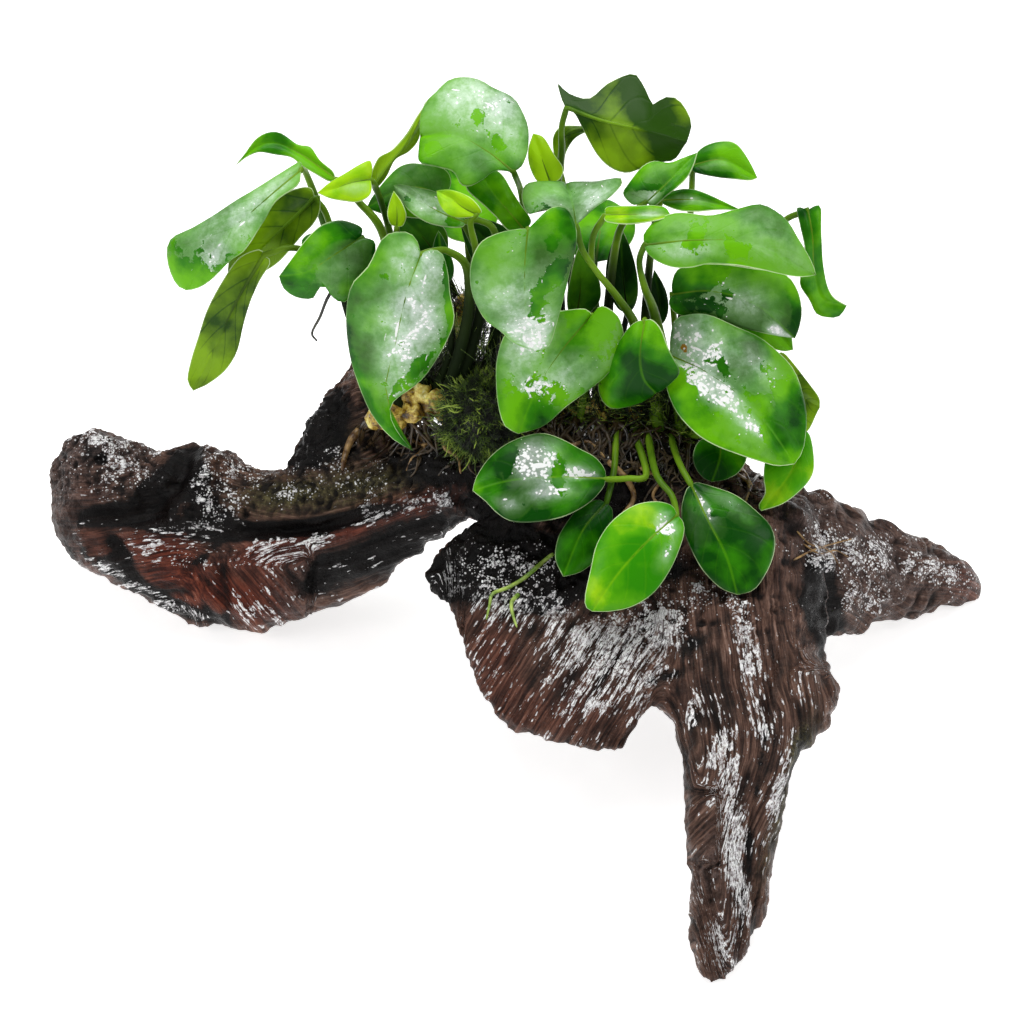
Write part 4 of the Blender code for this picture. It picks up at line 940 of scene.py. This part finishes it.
leaf("leaf_17", (0.05, 40), [(-39, 52, -8), (-42, 75, -6)],
     [(-47, 86, 2), (-56, 80, 6), (-64, 75, 5), (-73, 73.5, 1)],
     [(-47, 89), (-52, 91), (-56, 91), (-60, 89.5), (-64.5, 85), (-69, 79)],
     [(-43, 84.5), (-43, 80), (-45, 75), (-48, 70), (-52, 65.5), (-55.5, 66.5), (-57, 70), (-60, 70.3),
      (-62, 67), (-67, 67), (-71, 69.5)], (-5, -2), film=[(0.3, 0.35, 0.7, 0.4, 0.55)],
     torn=[(0.3, 0.8, 0.6, 0.2, 0.7)])
leaf("leaf_18", (0.21, -10), [(-19, 52, -10)], [(-20, 72, -8), (-22, 80, -10), (-23, 88, -12)],
     (-3.2, 0), (3.2, 0), (0, 0))

# Upper right
leaf("leaf_19", (0.56, -60), [(15, 62, -42), (14, 98, -33), (15.5, 112, -25), (15.5, 120, -18)],
     [(17, 126, -14), (29, 122, -12), (42, 119, -14), (54.5, 115.5, -19)],
     [(15.5, 129), (14.3, 134), (17.5, 131), (24, 129.3), (30, 134), (37.5, 137), (40.5, 134), (44, 127.3),
      (47, 129.5), (52, 129), (56, 122.5), (55.5, 118)],
     [(19.5, 124.5), (21.5, 121), (24, 116), (27, 111), (31, 107.5), (36, 106), (41, 107.5), (47, 109.3),
      (51, 110.3)], (-7, -5), face=-1, tone=-0.16)
leaf("leaf_20", (0.53, -20), [(11, 62, -32), (12.5, 88, -28)],
     [(12, 103, -26), (9.5, 110, -24), (6.5, 118.5, -25)], [(8, 103.3), (5.5, 108), (5, 113)],
     [(15, 104), (16, 107.5), (13, 112), (10, 117)], (-1, -1), young=True, tone=0.35)
leaf("leaf_21", (0.60, -25), [(19, 62, -38), (18, 90, -38)],
     [(15.5, 105, -36), (14.8, 113, -34), (18, 118.7, -32), (28, 119.9, -32)],
     [(14.2, 106), (13, 112), (13, 117.5), (15.5, 120.5), (21, 120.7)],
     [(16.3, 107), (16.8, 112), (19.5, 116.5), (24, 119)], (0, 0), face=-1)
leaf("leaf_22", (0.66, -30), [(30, 62, -34), (33, 86, -22), (38, 93.5, -14)],
     [(42, 97, -11), (47, 101.5, -11), (52, 106.5, -12), (58, 112.6, -14)],
     [(38, 95.8), (34.7, 99.3), (36, 102.5), (40, 107.5), (44, 109.5), (49, 109), (53, 110.5)],
     [(44, 95.3), (48, 98.5), (52, 101.8), (55, 105), (57, 109)], (-2, 2),
     film=[(0.0, 0.14, 0.9, 0.2, 0.9), (-0.4, 0.5, 0.5, 0.3, 0.4)], torn=[(0.0, 0.3, 0.8, 0.06, 0.7)])
leaf("leaf_23", (0.84, -60), [(54, 66, -46), (56, 98, -32)],
     [(56.5, 108.5, -20), (66, 110, -18), (77, 104.5, -20)],
     [(58, 112.5), (61, 115), (66, 116), (70, 115), (74, 110)],
     [(56.5, 106.4), (61, 105), (68, 104.3), (74, 103.5)], (-1, 1), film=[(0.3, 0.4, 0.5, 0.4, 0.42)])
leaf("leaf_24", (0.76, -35), [(42, 66, -34), (44.5, 90, -21)],
     [(46.5, 97.5, -17), (58, 97.5, -15), (72, 94.4, -17)], [(48, 99.5), (52, 101), (57, 100.6), (64, 98)],
     [(47.5, 96), (52, 94.3), (58, 94), (65, 94.2)], (-1, 1), film=[(0.0, 0.35, 0.5, 0.35, 0.8)])
leaf("leaf_25", (0.68, 0), [(26, 64, -18), (25, 84, -14)], [(29, 93, -10), (39, 93, -6), (49.7, 93, -5)],
     [(30, 95.7), (39, 95.4), (47, 95.8)], [(30, 90.3), (39, 90.2), (46, 91)], (-1.5, 1.5),
     film=[(0.0, 0.7, 0.6, 0.3, 0.8)], young=True, tone=0.02)
leaf("leaf_26", (0.87, 5), [(45, 60, -12), (41.5, 70, -8), (39.8, 78, -5)],
     [(41.5, 83.5, -1), (57, 85, 2), (76, 84, 2), (95.2, 74, -4)],
     [(41, 86.5), (44, 90.5), (48, 92.7), (53, 93.6), (62, 92.6), (70, 94.5), (76, 96.2), (80, 95.7),
      (86, 91.5), (90, 85), (93.5, 78.5)],
     [(42, 81.3), (45, 78.5), (50, 76.5), (56, 76.5), (62, 77.7), (70, 77), (78, 75.6), (84, 74.3),
      (90, 73.4)], (-7, 4),
     film=[(-0.2, 0.75, 1.2, 0.4, 0.6), (-0.5, 0.3, 0.6, 0.25, 0.5), (0.3, 0.3, 0.7, 0.3, 0.8)],
     torn=[(-0.1, 0.35, 0.5, 0.1, 0.7), (0.3, 0.55, 0.4, 0.1, 0.7)], tone=0.2)
leaf("leaf_27", (0.97, -50), [(62, 60, -44), (82, 88, -26)],
     [(92.5, 94.5, -16), (94, 86, -15), (94.5, 76, -15), (97, 66.5, -15), (104.7, 64.3, -15)],
     [(89, 95), (90, 89), (91.3, 83), (91, 77), (90, 71), (93, 66), (95, 62), (98, 61), (102, 61.3)],
     [(95, 95.8), (96.7, 94.8), (96.8, 86), (97, 79), (98.2, 72), (100, 67.7), (102, 66)], (0, -1))

# Lower right
leaf("leaf_28", (0.92, 20), [(52, 46, -16)], [(50, 68, -10), (62, 69, -7), (76, 65, -6), (88.6, 54.2, -4)],
     [(50, 72), (52, 76), (58, 77.5), (66, 77.5), (76, 76), (85, 74.5), (89, 70), (90.5, 64), (90, 59)],
     [(49, 65), (51, 62), (55, 61), (60, 61.3), (66, 59.5), (74, 57), (82, 55.2)], (-6, 5),
     film=[(0.1, 0.5, 0.9, 0.4, 0.8), (0.6, 0.88, 0.6, 0.14, 1.2)],
     torn=[(-0.5, 0.2, 0.8, 0.2, 0.9), (0.0, 0.45, 0.3, 0.06, 0.8), (0.6, 0.3, 0.3, 0.2, 0.8)],
     tone=-0.14, dark=0.1, beads=1.2)
leaf("leaf_29", (0.95, -10), [(56, 46, -22)], [(61, 58, -18), (77, 60, -17), (88, 50.5, -16)],
     (5, 8), (-3, -8), (-2, 2))
leaf("leaf_30", (0.90, 60), [(51, 36, -4)], [(49.5, 49, 2), (62, 43, 10), (76, 32, 12), (88.5, 15, 8)],
     [(49.5, 54), (51, 60), (56, 61.8), (62, 61.5), (70, 58), (77, 55), (84, 49.5), (88.5, 44), (91, 36),
      (91.8, 28), (91, 20)],
     [(48, 46), (48, 40), (50, 34), (53, 29), (58, 24), (64, 20.5), (70, 18.3), (77, 16),
      (83, 14.4)], (-11, 3),
     film=[(-0.35, 0.2, 0.9, 0.3, 1.05), (0.2, 0.35, 0.32, 0.35, 1.3), (0.35, 0.68, 0.22, 0.2, 1.15),
           (-0.5, 0.5, 0.5, 0.25, 0.8), (0.75, 0.75, 0.2, 0.3, 0.5)],
     torn=[(0.75, 0.25, 0.4, 0.3, 0.9), (-0.2, 0.4, 0.1, 0.04, 0.7), (0.1, 0.9, 0.5, 0.14, 0.9),
           (-0.6, 0.72, 0.4, 0.12, 0.8)], spots=[(-0.3, 0.15, 0.12, 0.045, 0.9)],
     beads=1.35, mist=0.75, tone=0.06)
leaf("leaf_31", (0.82, 60), [(41, 45, -6), (42, 56, 2)],
     [(41.5, 60, 8), (40, 50, 13), (41, 42, 14), (45, 37, 12)],
     [(39, 59.5), (36, 57), (31, 50), (27.7, 44), (27, 38), (30.5, 33), (36, 33), (41, 34.5)],
     [(44, 60), (47, 56.5), (50, 49), (52.2, 43.5), (50, 40.5)], (-12, 1), tone=0.1)
leaf("leaf_32", (0.99, -30), [(64, 36, -26), (73, 42, -20)], [(80, 40, -15), (88, 37, -16), (96, 32.5, -18)],
     [(80, 46), (84, 50), (88, 46.5), (93, 40), (96, 35.5)],
     [(82, 33), (86, 27), (90, 24.5), (93, 26)], (-1, 0), face=-1)
leaf("leaf_33", (0.96, 40), [(66, 22, -7), (80, 26, -5)], [(90, 26, -2), (88, 14, 0), (78, 0.3, 2)],
     [(84, 26), (80, 20), (78.5, 12), (79, 6), (77, 2)],
     [(93, 24), (94.3, 16), (93.7, 11), (90, 6.5), (84.5, 2.5)], (0, -2), young=True)
leaf("leaf_34", (0.94, 60), [(58, 24, -6)], [(65, 24, -3), (65, 17, 0), (62.5, 9.5, 1)],
     [(59, 22.5), (56.5, 18), (57.5, 13.5), (60, 10.5)],
     [(71, 22), (73.5, 17.5), (71, 12.5), (66.5, 10)], (-1, -1))
leaf("leaf_35", (0.87, 85), [(52, 16, 5)], [(56, 8.5, 11), (61.5, -3, 15), (67, -14, 17), (70.5, -26, 15)],
     [(58, 9.3), (65, 7.3), (70, 5), (76, 0.5), (80.5, -4), (82.3, -9), (81.5, -15), (79, -20),
      (75.5, -24.3)],
     [(54.5, 7), (53, 2), (53.3, -4), (55, -9.5), (58, -16), (61, -20), (65.5, -24)], (-4, -2),
     film=[(-0.1, 0.2, 0.2, 0.25, 1.2), (0.5, 0.3, 0.5, 0.25, 0.5), (-0.7, 0.3, 0.3, 0.2, 0.8)],
     torn=[(-0.3, 0.3, 0.3, 0.05, 0.6)], tone=-0.18, mist=0.3)
leaf("leaf_36", (0.79, 85), [(45, 12, 7), (50, 5, 12)],
     [(51.5, -1, 18), (42, -9.5, 24), (33, -19.5, 25), (25, -31.2, 22)],
     [(50, 2), (45, 3.3), (38, 2), (31, -3), (26.5, -10), (24.5, -18), (22.8, -26), (23, -29.5)],
     [(52.7, -2), (53.8, -5), (53, -10), (49.5, -18), (44.5, -25), (38, -29.3), (31, -31)], (-3, -3),
     film=[(0.0, 0.15, 0.8, 0.1, 1.35), (0.7, 0.3, 0.3, 0.16, 0.9)], torn=[(0.1, 0.26, 0.5, 0.05, 0.7)],
     young=True, beads=1.2, tone=-0.16, mist=0.4)
leaf("leaf_37", (0.74, 85), [(42, 12, 2), (36, 10.5, 4)],
     [(29.5, 10.5, 6), (15, 11, 12), (0, 10, 12), (-12.5, 6.7, 8)],
     [(29, 13.5), (26, 17), (21, 19.7), (16, 22.5), (10, 24.7), (4, 24), (-2, 21.3), (-7, 17), (-10.8, 11.5)],
     [(28.5, 7.5), (25, 3.5), (20, 0.3), (14, -2.2), (7, -3.3), (0, -3), (-4.5, -0.5), (-8.5, 3.5)], (-5, 3),
     film=[(-0.35, 0.5, 0.6, 0.2, 1.3), (-0.15, 0.22, 0.3, 0.2, 1.3), (0.35, 0.42, 0.3, 0.2, 1.3),
           (0.6, 0.7, 0.3, 0.12, 0.9)], torn=[(-0.5, 0.7, 0.4, 0.1, 0.8), (0.1, 0.35, 0.5, 0.04, 0.9)],
     beads=1.2, tone=-0.2, mist=0.5)
leaf("leaf_38", (0.69, 80), [(32, 14, 0)], [(29.5, 3, 5), (22, -6, 9), (16, -20.3, 10)],
     [(26, 3.8), (20, 0.5), (16, -5), (14, -9.5), (13.5, -15)],
     [(31.5, 0), (31, -7), (27.5, -13.5), (22, -18.5)], (-1, -3))

# Leaves deeper in, darkened with painted shade, and those that lean away behind
leaf("leaf_39", (0.58, 20), [(17, 48, -14)], [(20, 60, -14), (21.5, 71, -14), (21, 83, -15)],
     (-4, 0), (6.5, 0), (0, 0), dark=0.45)
leaf("leaf_40", (0.815, -25), [(46, 46, -28)], [(46, 58, -25), (46, 67, -25), (44.5, 75.5, -26)],
     (-2.8, 0), (2.8, 0), (0, 0), dark=0.6)
leaf("leaf_41", (0.72, -60), [(34, 50, -36)], [(36, 62, -34), (34.5, 76, -33), (34, 89, -34)],
     (-5.5, 0), (4.5, 0), (0, 0), dark=0.45)
leaf("leaf_42", (0.195, -60), [(-16, 60, -40)], [(-22, 78, -44), (-28, 86, -44), (-37, 94, -46)],
     (-5, -6), (5, 5), (0, -1), dark=0.6)
leaf("leaf_43", (0.40, -60), [(0, 60, -44)], [(-2, 78, -42), (-8, 85, -42), (-16, 92, -44)],
     (-5, -6), (5, 5), (0, -1), dark=0.6)
leaf("leaf_44", (0.12, -90), [(-40, 62, -48)], [(-45, 72, -54), (-54, 80, -62), (-66, 84, -72)],
     (-6, 8), (6, -8), (-6, 6))
leaf("leaf_45", (0.30, -90), [(-12, 62, -56)], [(-14, 84, -62), (-16, 98, -72), (-20, 108, -86)],
     (-11, 0), (11, 0), (-2, -2))
leaf("leaf_46", (0.64, -90), [(24, 60, -52)], [(26, 78, -58), (28, 90, -68), (30, 98, -82)],
     (-11, 0), (11, 0), (-2, -2))
leaf("leaf_47", (0.88, -90), [(54, 60, -50)], [(60, 72, -54), (70, 80, -62), (80, 84, -76)],
     (-5, 9), (5, -9), (-6, 6))

# Roots
# Fleshy green roots, a millimetre or two thick, that grew from the rhizome over the wood and hold the plant
# on it, with finer brown ones tangled round the rhizome, and the dark remains of old leaf sheaths.

# Places of the view that each root passes, and its radius in mm
ROOTS = {
    "root_slab": ([(13, -13), (8, -17), (4, -20.5), (-1, -23.5), (-6, -25.5), (-7, -29), (-8, -33.5)], 0.75),
    "root_slab_side": ([(2.2, -25.5), (0, -28), (0, -31), (1.5, -36)], 0.72),
    "root_left": ([(-44, 28), (-47, 26), (-50, 23), (-52, 18), (-53, 13)], 1.5),
}
# Starts of the fine roots in the view, how many there are of each kind, and where the thick crown begins
TANGLE = [(-34, 24), (-20, 24), (-6, 22), (10, 22), (26, 20), (40, 16), (54, 14), (70, 12)]
CREEPING = 90
HANGING = 230
SHEATHS = 260
CROWN = 0.36                      # share of the rhizome's length
DRY_ROOTS = [
    ([(88, -15), (94, -12), (100, -10), (108, -8)], 0.35),
    ([(91, -10), (96, -13), (101, -12), (105, -14)], 0.3),
    ([(89, -6), (93, -10), (99, -12), (103, -18)], 0.3), ([(64, 20), (68, 14), (72, 13), (75, 8)], 0.9),
    ([(70, 19), (69, 13), (74, 9), (73, 3)], 0.8), ([(30, 16), (36, 10), (38, 4), (34, -1)], 1.1),
    ([(22, 36), (18, 33), (14, 32), (10, 29)], 0.9), ([(-36, 26), (-32, 23), (-28, 21), (-24, 22)], 0.8),
    ([(-30, 25), (-27, 20), (-31, 17), (-33, 13)], 0.6), ([(40, 14), (46, 10), (44, 5), (48, 0)], 0.7),
    ([(-22, 26), (-21, 20), (-17, 17), (-16, 12)], 0.7), ([(12, 27), (17, 21), (24, 22), (29, 17)], 0.8),
]
DEAD_STALK = [(-44, 77, -5), (-52, 72, -3), (-57, 68, -1), (-60, 61, 0), (-62.5, 56, 0), (-61, 53.5, 0)]
wood_tree = BVHTree.FromPolygons([v.co.copy() for v in driftwood.data.vertices],
                                 [p.vertices[:] for p in driftwood.data.polygons])


def on_wood(right, up, lift):
    """Place on the wood's near side, lifted towards the eye, or None beside the wood."""
    eye_side = seen(right, up, 120.0) * MM
    way = (seen(right, up, -120.0) * MM - eye_side).normalized()
    hit = wood_tree.ray_cast(eye_side, way)[0]
    return hit / MM + EYEWARD * lift if hit else None


def root_skin(dark, light):
    """Smooth young root: waxy skin in random bands, darker where it is wet and glossy."""
    def look(tree, shader):
        surface = add(tree, "TexCoord").outputs["Object"]
        bands = add(tree, "TexNoise", {"Vector": surface, "Scale": 300.0, "Detail": 3.0})
        colour = add(tree, "ValToRGB", [bands], ((0.35, dark), (0.65, light)))
        gloss = add(tree, "ValToRGB", [bands], ((0.3, 0.2), (0.7, 0.45)))
        bump = add(tree, "Bump", {"Height": bands, "Strength": 0.4, "Distance": 0.0004})
        feed(tree, shader, {"Base Color": colour, "Roughness": gloss, "Normal": bump})
    return look


GREEN_ROOT = finished("green_root", root_skin("#5f8420", "#b4cc62"))
BROWN_ROOT = finished("brown_root", root_skin("#0a0704", "#4a391e"))
PAPER_ROOT = finished("papery_root", root_skin("#4a3016", "#b3905c"))
# Near black: the old sheaths' own dead colour, deepened as painted shade among the stalks
OLD_SHEATH = finished("old_sheath", root_skin("#060702", "#2b2d10"))


def lay_root(bm, course, radius):
    """Tapering root through places of the view, laid on the wood."""
    count = 6 * len(course)
    flat = [Vector((*p, 0.0)) for p in course]
    found = [on_wood(*spline(flat, i / count).xy, radius * 0.45) for i in range(count + 1)]
    points = [point for point in found if point]
    if len(points) < 4:
        return
    eased = [(a + b * 2 + c) / 4 for a, b, c in zip(points, points[1:], points[2:])]
    last = len(points) - 1
    radii = [radius * (1.0 - 0.55 * (i / last) ** 2) for i in range(last + 1)]
    radii[0] *= 0.6
    radii[-1] *= 0.6
    tube(bm, [points[0], *eased, points[-1]], radii, sides=8)


for root_name, (root_course, root_radius) in ROOTS.items():
    root_mesh = bmesh.new()
    lay_root(root_mesh, root_course, root_radius)
    place(root_mesh, root_name, PAPER_ROOT if root_name == "root_left" else GREEN_ROOT, "root", root_name)

chance = random.Random(7)
tangle = bmesh.new()
for n in range(CREEPING):
    start_right, start_up = chance.choice(TANGLE)
    right = start_right + chance.uniform(-8, 8)
    up = start_up + chance.uniform(-5, 8)
    heading = chance.uniform(-2.6, -0.5)
    course = []
    for step in range(5):
        course.append((right, up))
        heading += chance.uniform(-0.8, 0.8)
        right += math.cos(heading) * 3.2
        up += math.sin(heading) * 2.6
    lay_root(tangle, course, chance.uniform(0.3, 0.62))
for n in range(HANGING):
    start, out = foot(chance.uniform(0.0, 1.0), chance.uniform(40, 130))
    right, up, near = in_view(start + out * RHIZOME * 0.8)
    down = on_wood(right + chance.uniform(-13, 13), up - chance.uniform(3, 14), 0.3)
    if down:
        top = start + out * RHIZOME * 0.7
        loop = top.lerp(down, 0.5) + EYEWARD * chance.uniform(0, 2.5) + Vector((chance.uniform(-5, 5), 0, 1))
        way_down = [top, loop, down, down + Vector((chance.uniform(-5, 5), -0.6, -2))]
        thick = chance.uniform(0.3, 0.8) * chance.choice((1.0, 1.0, 1.5))
        points = [spline(way_down, i / 12) for i in range(13)]
        tube(tangle, points, [thick * (1.0 - 0.05 * i) for i in range(13)], sides=6)
place(tangle, "root_tangle", BROWN_ROOT, "root")

strands = bmesh.new()
for course, thick in DRY_ROOTS:
    lay_root(strands, course, thick)
place(strands, "tan_roots", PAPER_ROOT, "root")

sheaths = bmesh.new()
for n in range(SHEATHS):
    s = chance.uniform(0.0, 1.0)
    start, out = foot(s, chance.uniform(-80, 55 if s > CROWN else -20))
    lean = Vector((chance.uniform(-0.45, 0.45), chance.uniform(-0.2, 0.2), 1.0))
    tall = chance.uniform(6.0, 19.0)
    way_up = [start + out * RHIZOME * 0.5, start + out * (RHIZOME + 1.0),
              start + out * (RHIZOME + 1.5) + lean * tall * 0.55 + Vector((chance.uniform(-2, 2), 0, 0)),
              start + out * (RHIZOME + 1.0) + lean * tall + Vector((chance.uniform(-4, 4), 0, 0))]
    wide = chance.uniform(0.5, 1.7)
    points = [spline(way_up, i / 10) for i in range(11)]
    tube(sheaths, points, [wide * (1.0 - 0.085 * i) for i in range(11)], sides=6, flat=0.35)
points = [spline([grown(*p) for p in DEAD_STALK], i / 20) for i in range(21)]
tube(sheaths, points, [0.7 - 0.02 * i for i in range(21)])
place(sheaths, "old_sheaths", OLD_SHEATH, "rhizome")

# Moss
# A pad of living moss that has grown on at the foot of the plant, and single wisps of it along the rhizome
# and round the shoot. It is hair-fine, near black inside with painted shade, and paler at its tips.
MOSS_PLACE = Vector((-10.0, 29.0, -6.5))
STRANDS = 3200
BOLD_EVERY = 40                   # of the strands, one this often is thick and pale
WISPS = 3600
SHOOT_WISPS = 1000                # the last of them, which stand round the shoot


# Fine soft moss: near black inside by painted shade, yellow-green at the tips, matt but beaded with water
def moss_green(tree, shader):
    surface = add(tree, "TexCoord").outputs["Object"]
    tufts = add(tree, "TexNoise", {"Vector": surface, "Scale": 170.0, "Detail": 4.0, "Roughness": 0.65})
    tip = add(tree, "Attribute", attribute_name="tip").outputs["Fac"]
    tone = add(tree, "Math", (tufts, 1.3, -0.2), operation="MULTIPLY_ADD")
    tone = add(tree, "Math", (tip, 0.35, tone), operation="MULTIPLY_ADD")
    green = add(tree, "ValToRGB", [tone],
                ((0.42, "#020301"), (0.6, "#142208"), (0.74, "#4c6a18"), (0.9, "#a9c24c")))
    gloss = add(tree, "ValToRGB", [tufts], ((0.4, 0.6), (0.6, 0.35)))
    feed(tree, shader, {"Base Color": green, "Roughness": gloss})


def strand(bm, tip, points, radii, steps, paler=0.0):
    """Thread with three sides, that turns paler towards its tip in so many steps."""
    before = len(bm.verts)
    tube(bm, points, radii, sides=3)
    bm.verts.ensure_lookup_table()
    for k in range(before, len(bm.verts)):
        bm.verts[k][tip] = (k - before) / steps + paler


def shaken(wide, deep, low, high):
    """Small random turn of a thread."""
    return Vector((chance.uniform(-wide, wide), chance.uniform(-deep, deep), chance.uniform(low, high)))


wet_moss = finished("wet_moss", moss_green)
moss = bmesh.new()
tip_layer = moss.verts.layers.float.new("tip")
bmesh.ops.create_icosphere(moss, subdivisions=4, radius=1.0)
for vertex in moss.verts:
    lump = vertex.co * (0.86 + 0.22 * noise.noise(vertex.co * 2.2) + 0.1 * noise.noise(vertex.co * 7.0))
    vertex.co = seen(*(MOSS_PLACE + lump * Vector((12.0, 11.0, 5.0)))) * MM
for n in range(STRANDS):
    way = Vector((chance.gauss(0, 1), chance.gauss(0, 1), chance.gauss(0, 1))).normalized()
    if way.z < -0.5:
        continue
    at = Vector((-10 + way.x * 10.5, 30 + way.y * 10.5, -6.5 + way.z * 4.4))
    drift = Vector((way.x, way.y - 0.1, way.z * 0.6)) * chance.uniform(0.4, 1.6)
    points = []
    for step in range(6):
        points.append(seen(*at))
        drift += shaken(0.9, 0.9, -0.4, 0.4)
        at = at + drift * 0.55
    bold = 2.4 if n % BOLD_EVERY == 0 else 1.0
    radii = [r * bold for r in (0.13, 0.12, 0.11, 0.10, 0.08, 0.04)]
    strand(moss, tip_layer, points, radii, 17.0, 0.6 * (bold - 1.0))
place(moss, "moss_pad", wet_moss, "moss", "moss_pad")

wisps = bmesh.new()
tip_layer = wisps.verts.layers.float.new("tip")
shoot_line = [seen(*p) for p in SHOOT]
for n in range(WISPS):
    s = chance.uniform(0.0, 1.0)
    start, out = foot(s, chance.uniform(-75, 120 if s > CROWN else -10))
    at = start + out * RHIZOME * 0.9 + Vector((0, 0, chance.choice((0.0, 0.0, chance.uniform(0.0, 15.0)))))
    if n >= WISPS - SHOOT_WISPS:
        out = Vector((chance.uniform(-0.6, 0.6), chance.uniform(-0.6, 0.6), 0.0))
        around = Vector((chance.uniform(-3, 9), chance.uniform(-3, 3), chance.uniform(-4, 2)))
        at = spline(shoot_line, 0.9 * s) + around
    drift = out * 1.2 + shaken(0.6, 0.4, 0.2, 1.5)
    points = []
    for step in range(7):
        points.append(at)
        drift += shaken(0.9, 0.6, -0.7, 0.8)
        at = at + drift * chance.uniform(0.5, 1.1)
    strand(wisps, tip_layer, points, (0.15, 0.15, 0.14, 0.13, 0.11, 0.09, 0.05), 21.0)
place(wisps, "moss_wisps", wet_moss, "moss")

# Floor and light
# A pale seamless sheet of paper, swept by a wide softbox overhead and a little behind, and weaker ones at the
# sides, as in a product studio. The floor stays just under the wood's feet.
FLOOR_SIZE = 4.0
FLOOR_GAP = 0.0004
LIT_PLACE = Vector((0.0, 0.0, 0.08))
# Place, width and depth in metres, and power in watts
SOFTBOXES = {
    "overhead": ((0.0, 0.25, 1.1), (0.9, 0.7), 9.5),
    "left": ((-1.0, -0.5, 0.7), (0.5, 0.7), 4.0),
    "right": ((1.0, -0.3, 0.9), (0.4, 0.6), 3.0),
}
PAPER_GLOW = 0.72
SURROUND = 0.3


# Seamless background paper: bright and matt, with a faint tooth
def background_paper(tree, shader):
    tooth = add(tree, "TexNoise", {"Scale": 900.0, "Detail": 2.0})
    colour = add(tree, "ValToRGB", [tooth], ((0.4, "#f4f4f4"), (0.6, "#f8f8f8")))
    feed(tree, shader, {"Base Color": colour, "Roughness": 0.9, "Emission Color": "#ffffff",
                        "Emission Strength": PAPER_GLOW})


floor_mesh = bmesh.new()
bmesh.ops.create_grid(floor_mesh, x_segments=1, y_segments=1, size=FLOOR_SIZE)
floor_data = bpy.data.meshes.new("floor")
floor_mesh.to_mesh(floor_data)
floor_mesh.free()
floor_data.materials.append(finished("background_paper", background_paper))
floor = bpy.data.objects.new("floor", floor_data)
floor.location.z = -FLOOR_GAP
bpy.context.collection.objects.link(floor)

for box_name, (box_place, box_size, box_power) in SOFTBOXES.items():
    box = bpy.data.lights.new(box_name, "AREA")
    box.shape = "RECTANGLE"
    box.size, box.size_y = box_size
    box.energy = box_power
    light = bpy.data.objects.new(box_name, box)
    light.location = box_place
    light.rotation_euler = (LIT_PLACE - light.location).to_track_quat("-Z", "Y").to_euler()
    bpy.context.collection.objects.link(light)

world = bpy.data.worlds.new("studio")
world.use_nodes = True
feed(world.node_tree, world.node_tree.nodes["Background"], ("#ffffff", SURROUND))
bpy.context.scene.world = world
bpy.context.scene.view_settings.view_transform = "Standard"
